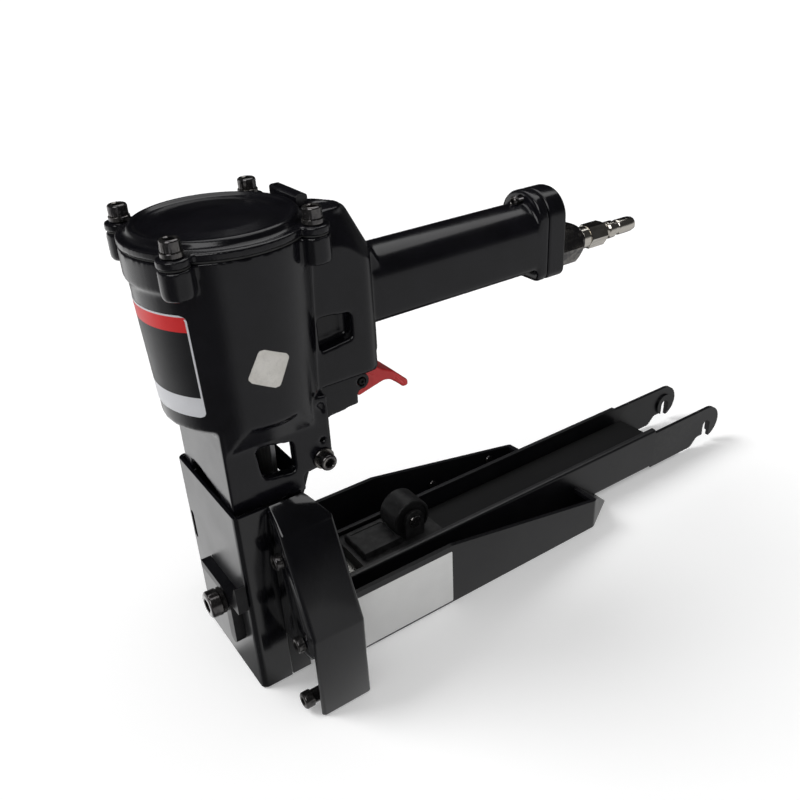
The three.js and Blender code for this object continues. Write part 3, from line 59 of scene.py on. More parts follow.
def buildCamera(view):
    turn, rise, roll = (math.radians(view[word]) for word in ("azimuth", "elevation", "roll"))
    back = Vector((math.sin(turn) * math.cos(rise), -math.cos(turn) * math.cos(rise), math.sin(rise)))
    right = (-back).cross(Vector((0, 0, 1))).normalized()
    up = right.cross(-back)
    tiltedRight = math.cos(roll) * right + math.sin(roll) * up
    tiltedUp = math.cos(roll) * up - math.sin(roll) * right
    bpy.ops.object.select_all(action="DESELECT")
    bpy.ops.object.camera_add()
    made = bpy.context.active_object
    made.name = "view_camera"
    axes = Matrix((tiltedRight, tiltedUp, back)).transposed().to_4x4()
    made.matrix_world = Matrix.Translation(spot(*view["place"])) @ axes
    made.data.lens = view["lens"]
    made.data.sensor_width = view["sensor"]
    made.data.clip_start = 0.01
    made.data.clip_end = 60
    bpy.context.scene.camera = made


buildCamera(camera)
print("camera ready")


# Modelling tools of this script
axisOrder = {"x": (1, 2, 0), "y": (0, 2, 1), "z": (0, 1, 2)}  # the outline's two axes, then the depth
axisVector = {"x": Vector((1, 0, 0)), "y": Vector((0, 1, 0)), "z": Vector((0, 0, 1))}


def clearSelection():
    if bpy.context.mode != "OBJECT":
        bpy.ops.object.mode_set(mode="OBJECT")
    bpy.ops.object.select_all(action="DESELECT")


def take(piece):
    clearSelection()
    piece.select_set(True)
    bpy.context.view_layer.objects.active = piece
    return piece


def edit(piece, mode="VERT"):
    take(piece)
    bpy.ops.object.mode_set(mode="EDIT")
    bpy.ops.mesh.select_mode(type=mode)
    bpy.ops.mesh.select_all(action="DESELECT")
    return bmesh.from_edit_mesh(piece.data)


def outwards(piece, distance=1e-6):
    edit(piece)
    bpy.ops.mesh.select_all(action="SELECT")
    bpy.ops.mesh.remove_doubles(threshold=distance)
    bpy.ops.mesh.normals_make_consistent(inside=False)
    bpy.ops.object.mode_set(mode="OBJECT")
    return piece


def extruded(name, outline, axis, low, high):
    # a filled ring of corners set on the outline, then pulled along the axis
    clearSelection()
    bpy.ops.mesh.primitive_circle_add(vertices=len(outline), radius=0.01, fill_type="NGON")
    piece = bpy.context.active_object
    piece.name = name
    first, second, depth = axisOrder[axis]
    for corner, point in zip(piece.data.vertices, outline):
        place = [0, 0, 0]
        place[first], place[second], place[depth] = point[0], point[1], low
        corner.co = spot(*place)
    edit(piece)
    bpy.ops.mesh.select_all(action="SELECT")
    pull = axisVector[axis] * (high - low) * mm
    bpy.ops.mesh.extrude_region_move(TRANSFORM_OT_translate={"value": pull})
    bpy.ops.object.mode_set(mode="OBJECT")
    return outwards(piece)


def turned(name, profile, axis, centre=(0, 0, 0), steps=96, closed=False):
    # corners of (radius, height), spun about the axis through the centre
    clearSelection()
    bpy.ops.mesh.primitive_circle_add(vertices=len(profile), radius=0.01, fill_type="NOTHING")
    piece = bpy.context.active_object
    piece.name = name
    out = "y" if axis == "x" else "x"
    for corner, (radius, height) in zip(piece.data.vertices, profile):
        shift = axisVector[axis] * height + axisVector[out] * radius
        corner.co = spot(*(Vector(centre) + shift))
    mesh = edit(piece, "EDGE")
    if not closed:
        onAxis = {i for i, (radius, height) in enumerate(profile) if radius < 1e-6}
        for side in mesh.edges:
            if all(corner.index in onAxis for corner in side.verts):
                side.select_set(True)
        bmesh.update_edit_mesh(piece.data)
        bpy.ops.mesh.delete(type="EDGE")
    bpy.ops.mesh.select_all(action="SELECT")
    bpy.ops.mesh.spin(steps=steps, angle=math.tau, center=spot(*centre), axis=axisVector[axis])
    bpy.ops.object.mode_set(mode="OBJECT")
    return outwards(piece)


def rod(name, axis, radius, low, high, centre=(0, 0, 0), steps=48):
    return turned(name, [(0, low), (radius, low), (radius, high), (0, high)], axis, centre, steps)


def block(name, x, y, z):
    corners = [(x[0], y[0]), (x[1], y[0]), (x[1], y[1]), (x[0], y[1])]
    return extruded(name, corners, "z", z[0], z[1])


cuts = {"tidy": False}  # on for the housing, whose many cuts leave hairline edges


def combined(piece, tool, operation):
    take(piece)
    bpy.ops.object.modifier_add(type="BOOLEAN")
    modifier = piece.modifiers[-1]
    modifier.operation = operation
    modifier.solver = "EXACT"
    modifier.object = tool
    bpy.ops.object.modifier_apply(modifier=modifier.name)
    mesh = tool.data
    bpy.data.objects.remove(tool, do_unlink=True)
    bpy.data.meshes.remove(mesh)
    if cuts["tidy"]:
        edit(piece)
        bpy.ops.mesh.select_all(action="SELECT")
        bpy.ops.mesh.remove_doubles(threshold=5e-6)
        bpy.ops.mesh.dissolve_degenerate(threshold=2e-6)
        bpy.ops.object.mode_set(mode="OBJECT")
    return piece


def welded(piece, *tools):
    for tool in tools:
        combined(piece, tool, "UNION")
    return piece


def carved(piece, *tools):
    for tool in tools:
        combined(piece, tool, "DIFFERENCE")
    return piece


def shared(piece, *tools):
    for tool in tools:
        combined(piece, tool, "INTERSECT")
    return piece


def castSkin(piece, grain, rounds):
    # one poured skin with soft edges
    take(piece)
    bpy.ops.object.modifier_add(type="REMESH")
    skin = piece.modifiers[-1]
    skin.mode = "VOXEL"
    skin.voxel_size = grain * mm
    bpy.ops.object.modifier_apply(modifier=skin.name)
    bpy.ops.object.modifier_add(type="SMOOTH")
    relax = piece.modifiers[-1]
    relax.factor = 0.5
    relax.iterations = rounds
    bpy.ops.object.modifier_apply(modifier=relax.name)
    bpy.ops.object.shade_smooth()
    return piece


def softEdges(piece, width, segments=2, angle=30):
    take(piece)
    bpy.ops.object.modifier_add(type="BEVEL")
    edge = piece.modifiers[-1]
    edge.width = width * mm
    edge.segments = segments
    edge.limit_method = "ANGLE"
    edge.angle_limit = math.radians(angle)
    edge.use_clamp_overlap = True
    bpy.ops.object.modifier_apply(modifier=edge.name)
    return smoothByAngle(piece)


def smoothByAngle(piece, angle=32):
    # smooth shading that leaves the large flat faces flat
    take(piece)
    bpy.ops.object.shade_smooth_by_angle(angle=math.radians(angle))
    bpy.ops.object.modifier_add(type="WEIGHTED_NORMAL")
    shading = piece.modifiers[-1]
    shading.keep_sharp = True
    shading.weight = 100
    bpy.ops.object.modifier_apply(modifier=shading.name)
    return piece


def copied(piece, name, shift=(0, 0, 0), quarterTurns=None):
    # a copy with its own mesh, turned about the point (0, 0, 0), then moved, and applied
    take(piece)
    bpy.ops.object.duplicate()
    made = bpy.context.active_object
    made.name = name
    if quarterTurns:
        angle, axis = quarterTurns
        bpy.ops.transform.rotate(value=math.radians(angle), orient_axis=axis, center_override=spot(0, 0, 0))
    bpy.ops.transform.translate(value=Vector(shift) * mm)
    bpy.ops.object.transform_apply(location=True, rotation=True, scale=True)
    return made


def mirrored(piece, name):
    # the same piece on the other side of the tool
    take(piece)
    bpy.ops.object.duplicate()
    made = bpy.context.active_object
    made.name = name
    bpy.ops.transform.resize(value=(1, -1, 1), center_override=(0, 0, 0))
    bpy.ops.object.transform_apply(location=True, rotation=True, scale=True)
    return outwards(made)


# Outlines
def rounded(points, radius, steps=5, closed=True):
    result = []
    count = len(points)
    for i, point in enumerate(points):
        here = Vector(point[:2])
        if not closed and i in (0, count - 1):
            result.append(tuple(here))
            continue
        before = Vector(points[i - 1][:2]) - here
        after = Vector(points[(i + 1) % count][:2]) - here
        size = point[2] if len(point) > 2 else radius
        angle = before.angle(after)
        if size <= 0 or angle > math.radians(176):
            result.append(tuple(here))
            continue
        reach = min(size / math.tan(angle / 2), before.length * 0.48, after.length * 0.48)
        size = reach * math.tan(angle / 2)
        centre = here + (before.normalized() + after.normalized()).normalized() * (size / math.sin(angle / 2))
        start = here + before.normalized() * reach - centre
        end = here + after.normalized() * reach - centre
        sweep = start.angle_signed(end) * -1
        for k in range(steps + 1):
            part = sweep * k / steps
            turn = Matrix.Rotation(part, 2)
            result.append(tuple(centre + turn @ start))
    return result


def offsetLine(points, distance):
    normals = []
    for a, b in zip(points, points[1:]):
        along = (Vector(b) - Vector(a)).normalized()
        normals.append(Vector((along.y, -along.x)))
    result = []
    for i, point in enumerate(points):
        before = normals[max(i - 1, 0)]
        after = normals[min(i, len(normals) - 1)]
        result.append(tuple(Vector(point) + (before + after) * (distance / (1 + before.dot(after)))))
    return result


def roundedSection(half, low, high, upper, lower, steps=10):
    points = []
    corners = [(half - lower, low + lower, lower, -90), (half - upper, high - upper, upper, 0),
               (-half + upper, high - upper, upper, 90), (-half + lower, low + lower, lower, 180)]
    for centreY, centreZ, radius, start in corners:
        for k in range(steps + 1):
            turn = math.radians(start + 90 * k / steps)
            point = (centreY + radius * math.cos(turn), centreZ + radius * math.sin(turn))
            if not points or (Vector(point) - Vector(points[-1])).length > 1e-4:
                points.append(point)
    return points


def arc(centre, radius, start, end, steps):
    turns = [math.radians(start + (end - start) * k / steps) for k in range(steps + 1)]
    return [(centre[0] + radius * math.cos(turn), centre[1] + radius * math.sin(turn)) for turn in turns]


# Materials: every finish is procedural, on object coordinates
def surface(name, look):
    material = bpy.data.materials.new(name)
    material.use_nodes = True
    tree = material.node_tree
    nodes, links = tree.nodes, tree.links
    shader = nodes["Principled BSDF"]
    shader.inputs["Metallic"].default_value = look.get("metal", 0)
    shader.inputs["IOR"].default_value = look.get("ior", 1.45)
    coords = nodes.new("ShaderNodeTexCoord")
    mapping = nodes.new("ShaderNodeMapping")
    mapping.inputs["Scale"].default_value = look.get("stretch", (1, 1, 1))
    links.new(coords.outputs["Object"], mapping.inputs["Vector"])

    def noise(scale, detail, rough=0.55):
        node = nodes.new("ShaderNodeTexNoise")
        node.inputs["Scale"].default_value = scale
        node.inputs["Detail"].default_value = detail
        node.inputs["Roughness"].default_value = rough
        links.new(mapping.outputs["Vector"], node.inputs["Vector"])
        return node.outputs["Fac"]

    def spread(source, low, high, fromLow=0.35, fromHigh=0.65):
        node = nodes.new("ShaderNodeMapRange")
        for socket, value in zip(("From Min", "From Max", "To Min", "To Max"), (fromLow, fromHigh, low, high)):
            node.inputs[socket].default_value = value
        links.new(source, node.inputs["Value"])
        return node.outputs["Result"]

    def blend(factor, first, second):
        node = nodes.new("ShaderNodeMix")
        node.data_type = "RGBA"
        links.new(factor, node.inputs[0])
        for socket, value in ((node.inputs[6], first), (node.inputs[7], second)):
            if isinstance(value, tuple):
                socket.default_value = (*value, 1)
            else:
                links.new(value, socket)
        return node.outputs[2]

    # two close colours in clouds, with fine specks over them
    cloud = noise(look.get("cloud", 60), 3)
    colour = blend(spread(cloud, 0, 1), look["colour"], look["colourTwo"])
    fine = noise(look.get("speck", 900), 4, 0.7)
    specks = spread(fine, 0, look.get("speckShare", 0.25), 0.5, 0.75)
    colour = blend(specks, colour, look.get("speckColour", look["colourTwo"]))
    # edges where the finish is worn, broken up by a noise
    geometry = nodes.new("ShaderNodeNewGeometry")
    edge = spread(geometry.outputs["Pointiness"], 0, 1, look.get("edgeFrom", 0.53), look.get("edgeTo", 0.62))
    broken = nodes.new("ShaderNodeMath")
    broken.operation = "MULTIPLY"
    links.new(edge, broken.inputs[0])
    links.new(spread(noise(240, 4, 0.65), 0, look.get("wear", 0.5), 0.42, 0.62), broken.inputs[1])
    colour = blend(broken.outputs[0], colour, look.get("worn", (0.05, 0.05, 0.055)))
    links.new(colour, shader.inputs["Base Color"])
    span = look.get("roughSpan", 0.05)
    smear = spread(noise(38, 5, 0.6), look["rough"] - span, look["rough"] + span, 0.3, 0.7)
    rougher = nodes.new("ShaderNodeMath")
    rougher.operation = "MULTIPLY_ADD"
    links.new(broken.outputs[0], rougher.inputs[0])
    rougher.inputs[1].default_value = look.get("wornRough", 0.15)
    links.new(smear, rougher.inputs[2])
    links.new(rougher.outputs[0], shader.inputs["Roughness"])
    bump = nodes.new("ShaderNodeBump")
    bump.inputs["Strength"].default_value = look.get("grainStrength", 0.12)
    bump.inputs["Distance"].default_value = look.get("grainDepth", 0.0002)
    links.new(noise(look["grain"], 2), bump.inputs["Height"])
    links.new(bump.outputs["Normal"], shader.inputs["Normal"])
    return material


castingPaint = surface("casting_paint", {
    "colour": (0.0034, 0.0033, 0.0048), "colourTwo": (0.0056, 0.0054, 0.0076), "speckColour": (0.011, 0.0105, 0.013),
    "rough": 0.19, "roughSpan": 0.05, "ior": 1.4, "grain": 620, "grainStrength": 0.08, "grainDepth": 0.00025,
    "worn": (0.045, 0.043, 0.045), "wear": 0.4, "edgeFrom": 0.535, "edgeTo": 0.64})
castingInside = surface("casting_rough", {
    "colour": (0.0042, 0.0042, 0.005), "colourTwo": (0.0075, 0.0075, 0.0085), "speckColour": (0.012, 0.012, 0.013),
    "rough": 0.42, "ior": 1.4, "grain": 500, "grainStrength": 0.2, "grainDepth": 0.0002,
    "worn": (0.03, 0.03, 0.03), "wear": 0.25, "edgeFrom": 0.56, "edgeTo": 0.72})
sheetPaint = surface("sheet_paint", {
    "colour": (0.0024, 0.0024, 0.0034), "colourTwo": (0.004, 0.004, 0.0054), "speckColour": (0.008, 0.008, 0.01),
    "rough": 0.12, "roughSpan": 0.03, "ior": 1.5, "grain": 160, "grainStrength": 0.02, "grainDepth": 0.0002,
    "worn": (0.16, 0.13, 0.09), "wear": 0})
# the plate's wide face: a lighter grey base colour, a painted reflection of the bright surroundings on the black gloss
# sheet
plateFaceSheen = surface("plate_face_painted_sheen", {
    "colour": (0.02, 0.02, 0.022), "colourTwo": (0.028, 0.028, 0.03), "speckColour": (0.035, 0.035, 0.038),
    "rough": 0.34, "roughSpan": 0.03, "ior": 1.65, "grain": 160, "grainStrength": 0.02, "grainDepth": 0.0002,
    "wear": 0})
trayPaint = surface("tray_paint", {
    "colour": (0.004, 0.004, 0.0054), "colourTwo": (0.0065, 0.0065, 0.008), "speckColour": (0.011, 0.011, 0.013),
    "rough": 0.34, "roughSpan": 0.05, "ior": 1.45, "grain": 900, "grainStrength": 0.1, "grainDepth": 0.00015,
    "worn": (0.05, 0.048, 0.045), "wear": 0.3, "edgeFrom": 0.56, "edgeTo": 0.7})
bracketPaint = surface("bracket_paint", {
    "colour": (0.003, 0.003, 0.004), "colourTwo": (0.0055, 0.0055, 0.007), "speckColour": (0.012, 0.012, 0.014),
    "rough": 0.38, "roughSpan": 0.05, "ior": 1.32, "grain": 500, "grainStrength": 0.06, "grainDepth": 0.0001,
    "worn": (0.03, 0.03, 0.03), "wear": 0.12, "edgeFrom": 0.62, "edgeTo": 0.8})
blackenedSteel = surface("blackened_steel", {
    "colour": (0.0018, 0.0018, 0.0022), "colourTwo": (0.0035, 0.0035, 0.004), "speckColour": (0.007, 0.007, 0.008),
    "rough": 0.5, "roughSpan": 0.06, "ior": 1.33, "stretch": (0.1, 1, 1), "grain": 900, "grainStrength": 0.1,
    "grainDepth": 0.0001, "worn": (0.02, 0.02, 0.02), "wear": 0.2, "edgeFrom": 0.58, "edgeTo": 0.75})
lipPaint = surface("lip_paint", {
    "colour": (0.01, 0.01, 0.011), "colourTwo": (0.016, 0.016, 0.0175), "speckColour": (0.026, 0.026, 0.028),
    "rough": 0.36, "roughSpan": 0.06, "ior": 1.5, "stretch": (0.2, 1, 1), "grain": 900, "grainStrength": 0.1,
    "grainDepth": 0.0001, "worn": (0.09, 0.088, 0.085), "wear": 0.3, "edgeFrom": 0.56, "edgeTo": 0.7})
mouldedPlastic = surface("moulded_plastic", {
    "colour": (0.005, 0.005, 0.0055), "colourTwo": (0.0085, 0.0085, 0.0092), "speckColour": (0.014, 0.014, 0.015),
    "rough": 0.46, "roughSpan": 0.07, "ior": 1.42,
    "grain": 2600, "grainStrength": 0.3, "grainDepth": 0.00012, "worn": (0.04, 0.04, 0.04), "wear": 0.4})
screwFinish = surface("screw_oxide", {
    "colour": (0.07, 0.067, 0.07), "colourTwo": (0.092, 0.089, 0.09), "speckColour": (0.11, 0.102, 0.092),
    "metal": 0.9, "rough": 0.15, "roughSpan": 0.05, "grain": 1600, "grainStrength": 0.12, "grainDepth": 0.0001,
    "worn": (0.35, 0.33, 0.3), "wear": 0.6, "wornRough": 0.05})
nickelFinish = surface("nickel_plate", {
    "colour": (0.58, 0.55, 0.5), "colourTwo": (0.7, 0.67, 0.61), "speckColour": (0.42, 0.38, 0.33), "metal": 1,
    "rough": 0.17, "roughSpan": 0.06, "grain": 900, "stretch": (0.25, 1, 1), "grainStrength": 0.1,
    "grainDepth": 0.0001, "worn": (0.82, 0.79, 0.73), "wear": 0.6, "wornRough": -0.04})
stapleWire = surface("staple_wire", {
    "colour": (0.5, 0.49, 0.47), "colourTwo": (0.66, 0.65, 0.62), "speckColour": (0.3, 0.28, 0.25), "metal": 1,
    "rough": 0.28, "roughSpan": 0.06, "grain": 1200, "stretch": (1, 0.2, 0.2), "grainStrength": 0.15,
    "grainDepth": 0.0001, "worn": (0.8, 0.78, 0.74), "wear": 0.5, "wornRough": -0.05})
groundSteel = surface("ground_steel", {
    "colour": (0.24, 0.24, 0.25), "colourTwo": (0.36, 0.36, 0.37), "speckColour": (0.14, 0.13, 0.12), "metal": 1,
    "rough": 0.32, "roughSpan": 0.08, "grain": 800, "stretch": (1, 1, 0.12), "grainStrength": 0.2,
    "grainDepth": 0.0001, "worn": (0.55, 0.55, 0.54), "wear": 0.6, "wornRough": -0.06})
turnedAlloy = surface("turned_alloy", {
    "colour": (0.55, 0.55, 0.56), "colourTwo": (0.66, 0.66, 0.67), "speckColour": (0.42, 0.42, 0.43), "metal": 1,
    "rough": 0.3, "roughSpan": 0.06, "grain": 1500, "stretch": (0.15, 0.15, 1), "grainStrength": 0.15,
    "grainDepth": 0.0001, "worn": (0.8, 0.8, 0.8), "wear": 0.4})
rubberFinish = surface("rubber_black_finish", {
    "colour": (0.012, 0.012, 0.012), "colourTwo": (0.02, 0.02, 0.02), "rough": 0.7, "roughSpan": 0.08, "ior": 1.5,
    "grain": 2000, "grainStrength": 0.25, "grainDepth": 0.0001, "worn": (0.05, 0.05, 0.05), "wear": 0.3})
triggerRed = surface("trigger_red_plastic", {
    "colour": (0.5, 0.018, 0.02), "colourTwo": (0.6, 0.03, 0.03), "speckColour": (0.4, 0.012, 0.016), "rough": 0.3,
    "roughSpan": 0.05, "ior": 1.49, "grain": 1800, "grainStrength": 0.12, "grainDepth": 0.0001,
    "worn": (0.72, 0.09, 0.08), "wear": 0.5})
labelRed = surface("label_red", {
    "colour": (0.55, 0.012, 0.014), "colourTwo": (0.62, 0.016, 0.018), "speckColour": (0.46, 0.011, 0.013),
    "rough": 0.4, "ior": 1.36, "cloud": 35, "grain": 700, "grainStrength": 0.05, "worn": (0.6, 0.1, 0.1), "wear": 0.2})
labelBlack = surface("label_black", {
    "colour": (0.007, 0.007, 0.009), "colourTwo": (0.011, 0.011, 0.013), "speckColour": (0.022, 0.022, 0.022),
    "rough": 0.4, "ior": 1.33, "cloud": 35, "grain": 700, "grainStrength": 0.05, "worn": (0.08, 0.08, 0.08),
    "wear": 0.2})
labelWhite = surface("label_white", {
    "colour": (0.56, 0.565, 0.59), "colourTwo": (0.62, 0.625, 0.65), "speckColour": (0.5, 0.5, 0.52), "rough": 0.4,
    "cloud": 28, "grain": 900, "grainStrength": 0.05, "worn": (0.66, 0.66, 0.67), "wear": 0.2})
# paler than the cylinder label's white: painted light that lifts the shade on the tray's near wall
trayLabelPaperPaintedLight = surface("tray_label_paper_painted_light", {
    "colour": (0.84, 0.84, 0.83), "colourTwo": (0.9, 0.9, 0.89), "speckColour": (0.78, 0.78, 0.77), "rough": 0.4,
    "cloud": 28, "grain": 900, "grainStrength": 0.05, "worn": (0.8, 0.8, 0.8), "wear": 0.2})
stickerPaper = surface("sticker_paper", {
    "colour": (0.62, 0.6, 0.56), "colourTwo": (0.7, 0.68, 0.64), "speckColour": (0.4, 0.39, 0.37), "speck": 500,
    "speckShare": 0.4, "rough": 0.5, "cloud": 120, "grain": 1500, "grainStrength": 0.12, "worn": (0.42, 0.4, 0.38),
    "wear": 0.4})
print("materials ready")


def finished(piece, finish, body, slot, *nodes):
    take(piece)
    bpy.ops.object.transform_apply(location=True, rotation=True, scale=True)
    piece.data.materials.clear()
    piece.data.materials.append(finish)
    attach(piece, body)
    if nodes:
        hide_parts(*nodes)
    return piece


# Housing casting: cylinder, rear housing with its hump, handle, neck and trigger bracket
housing = {
    "radius": 36.6, "taper": 3.4, "taperZ": 151, "taperHeight": 78, "bottomZ": 149, "topZ": 229, "footEdge": 2,
    "bore": 33, "floorZ": 160, "passage": 9.4, "bossX": 30.5, "bossY": 31, "bossRadius": 7, "bossLowZ": 216.6,
    "screwWay": 2.7, "screwWayZ": 219.2, "bandRadius": 40.9, "bandInner": 35.5, "bandLowZ": 215.8, "bandBackX": -27,
    "grain": 1.05, "rounds": 4}
rearHousing = {
    "side": [(0, 150.85), (66, 150.85), (66, 171.7), (75, 171.7), (75, 204.3), (61.6, 229.8), (46, 230.2), (44, 233),
             (37, 233), (37, 229), (0, 229)],
    "section": [(-23, 151, 2), (23, 151, 2), (23, 218, 8), (15.5, 233, 3), (-15.5, 233, 3), (-23, 218, 8)],
    "half": 23, "backX": 75, "corner": 9, "cornerX": 57, "cornerY": 14,
    "crownX": 44, "crownY": 0.06, "crown": [(0, 190), (37, 190), (11, 242), (0, 242)],
    "padX": 47.4, "padY": -7,
    "pad": [(0, 222), (9.2, 222), (9.2, 232.3), (8.6, 232.9), (7.2, 232.9), (6.2, 232), (0, 232)]}
handle = {"half": 16, "lowZ": 171, "highZ": 207, "lowCorner": 5, "startX": 50, "endX": 178.6,
          "airRadius": 6.5, "airX": 89, "airZ": 183, "flangeX": 172.5, "flangeBackX": 179.04, "flangeHalf": 16.04,
          "flangeLowZ": 164.96, "flangeHighZ": 213.04, "flangeCorner": 15}
neck = {
    "frontX": -24, "backX": 14, "half": 29, "wallHalf": 29.06, "wallInner": 22.5, "lowZ": 105, "topZ": 151.07,
    "flare": [(-29.03, 138), (29.03, 138), (34.5, 151.1), (-34.5, 151.1)], "flareX": (-24.04, 30.04),
    "wall": [(-24, 113.5, 0), (14, 113.5, 0), (22, 114.4, 3), (30, 115.2, 5), (30, 151.2, 0), (-23.9, 151.2, 0)],
    "hollowX": -20, "hollowHalf": 23, "hollowTopZ": 147,
    "window": [(-6.7, 119.4), (10.2, 116.6), (10.1, 133.4), (-8.8, 137)],
    "webX": (10.4, 14.03), "webHalf": 23.4, "webZ": (105.2, 116.6),
    "opening": [(-14.5, 100, 0), (20, 100, 0), (20, 112.5, 2), (12, 114.5, 2), (-14.5, 109.4, 1)],
    "boltX": 24.5, "boltZ": 119, "boltWay": 2.8, "smallX": 25.6, "smallZ": 128.5, "smallWay": 1.5}
triggerBracket = {
    "side": [(15.5, 125.4), (56.5, 130), (56.5, 147), (30, 147), (30, 151.5), (12, 151.5), (12, 146.8), (15.5, 146.8)],
    "half": 12, "ear": 4.6, "pinX": 59, "pinZ": 141.5, "pinWay": 2.3, "slotX": 55.2, "slotHalf": 9.4}
flankPocket = {"plan": [(32.3, 30), (32.3, 15.2), (49, 15.2), (50, 16.5), (50, 30)],
               "side": [(32.3, 169.9), (50, 172.2), (50, 184.9), (32.3, 187)],
               "relief": [(23.6, 147.6), (27.4, 149.6), (28.6, 143.4), (27, 142), (25.6, 144.6)], "reliefY": 27.2,
               "holeX": 27.6, "holeZ": 146.2, "hole": 1.1, "holeY": 26}
valveSeat = {"x": 67, "bossX": 67.03, "boss": 8.17, "bossZ": (151.5, 176.3), "pocket": 5.5, "pocketZ": (146, 169.3)}
inletZ, inletWay = 176.5, 7.7  # height and radius of the air inlet's thread in the handle and its end cap
endScrewZ, endScrewWay = 208.5, 1.8
outside = 40  # half width of the blocks that cut right through
bossPlaces = [(sx * housing["bossX"], sy * housing["bossY"]) for sx, sy in ((-1, -1), (1, -1), (-1, 1), (1, 1))]


def barrelRadius(z):
    return housing["radius"] + housing["taper"] * (z - housing["taperZ"]) / housing["taperHeight"]


def sided(inner, outer, sy):
    # a span from inner to outer on the side that sy names
    return (inner, outer) if sy > 0 else (-outer, -inner)


def buildBarrel(size):
    low, high, radius, edge = size["bottomZ"], size["topZ"], size["radius"], size["footEdge"]
    outline = [(0, low), (radius - edge, low), (radius, low + edge), (radius + size["taper"], high), (0, high)]
    shell = turned("main_casting", outline, "z", steps=128)
    boss, bossLow = size["bossRadius"], size["bossLowZ"]
    for x, y in bossPlaces:
        column = [(0, bossLow), (boss - 1.2, bossLow), (boss - 0.3, bossLow + 0.7), (boss, bossLow + 2), (boss, high),
                  (0, high)]
        welded(shell, turned("boss", column, "z", (x, y, 0), 32))
    inner, outer, bandLow = size["bandInner"], size["bandRadius"], size["bandLowZ"]
    ring = [(inner, bandLow), (outer - 0.9, bandLow), (outer, bandLow + 1), (outer, high), (inner, high)]
    band = turned("front_band", ring, "z", closed=True)
    shared(band, block("front_part", (-60, size["bandBackX"]), (-outside, outside), (200, 240)))
    return welded(shell, band)


def buildRear(size):
    rear = extruded("rear", size["side"], "y", -size["half"] - 1, size["half"] + 1)
    half, back, corner = size["half"], size["backX"], size["corner"]
    near = arc((size["cornerX"], -size["cornerY"]), corner, -90, 0, 8)
    far = arc((size["cornerX"], size["cornerY"]), corner, 0, 90, 8)
    plan = [(0, -half)] + near + [(back, -size["cornerY"]), (back, size["cornerY"])] + far + [(0, half)]
    shared(rear, extruded("plan", plan, "z", 150, 234),
           extruded("section", rounded(size["section"], 2), "x", -1, back + 1))
    crown = block("crown", (size["crownX"], 90), (-outside, outside), (200, 241))
    carved(crown, turned("round", size["crown"], "z", (size["crownX"], size["crownY"], 0), 60))
    carved(rear, crown)
    return welded(rear, turned("pad", size["pad"], "z", (size["padX"], size["padY"], 0), 48))


def buildNeck(size):
    front, half = size["frontX"], size["half"]
    made = block("neck", (front, size["backX"]), (-half, half), (size["lowZ"], size["topZ"]))
    flare = extruded("flare", size["flare"], "x", *size["flareX"])
    welded(made, shared(flare, rod("foot", "z", housing["radius"], 137, 152, steps=96)))
    for sy in (-1, 1):
        welded(made, extruded("wall", rounded(size["wall"], 1), "y", *sided(size["wallInner"], size["wallHalf"], sy)))
    inner = size["hollowHalf"]
    carved(made, block("hollow", (size["hollowX"], outside), (-inner, inner), (100, size["hollowTopZ"])))
    carved(made, extruded("windows", rounded(size["window"], 2.2), "y", -36, 36))
    welded(made, block("web", size["webX"], (-size["webHalf"], size["webHalf"]), size["webZ"]))
    carved(made, extruded("opening", rounded(size["opening"], 1), "x", -30, -15))
    carved(made, rod("bolt_way", "y", size["boltWay"], -outside, outside, (size["boltX"], 0, size["boltZ"]), 24))
    small = (size["smallX"], 0, size["smallZ"])
    return carved(made, rod("small_way", "y", size["smallWay"], -outside, outside, small, 24))


def buildTriggerBracket(size):
    half, pin = size["half"], (size["pinX"], 0, size["pinZ"])
    made = extruded("bracket", size["side"], "y", -half, half)
    welded(made, rod("ear", "y", size["ear"], -half, half, pin, 32))
    slot = block("slot", (size["slotX"], 68), (-size["slotHalf"], size["slotHalf"]), (120, 151))
    return carved(made, slot, rod("pin_way", "y", size["pinWay"], -15, 15, pin, 24))


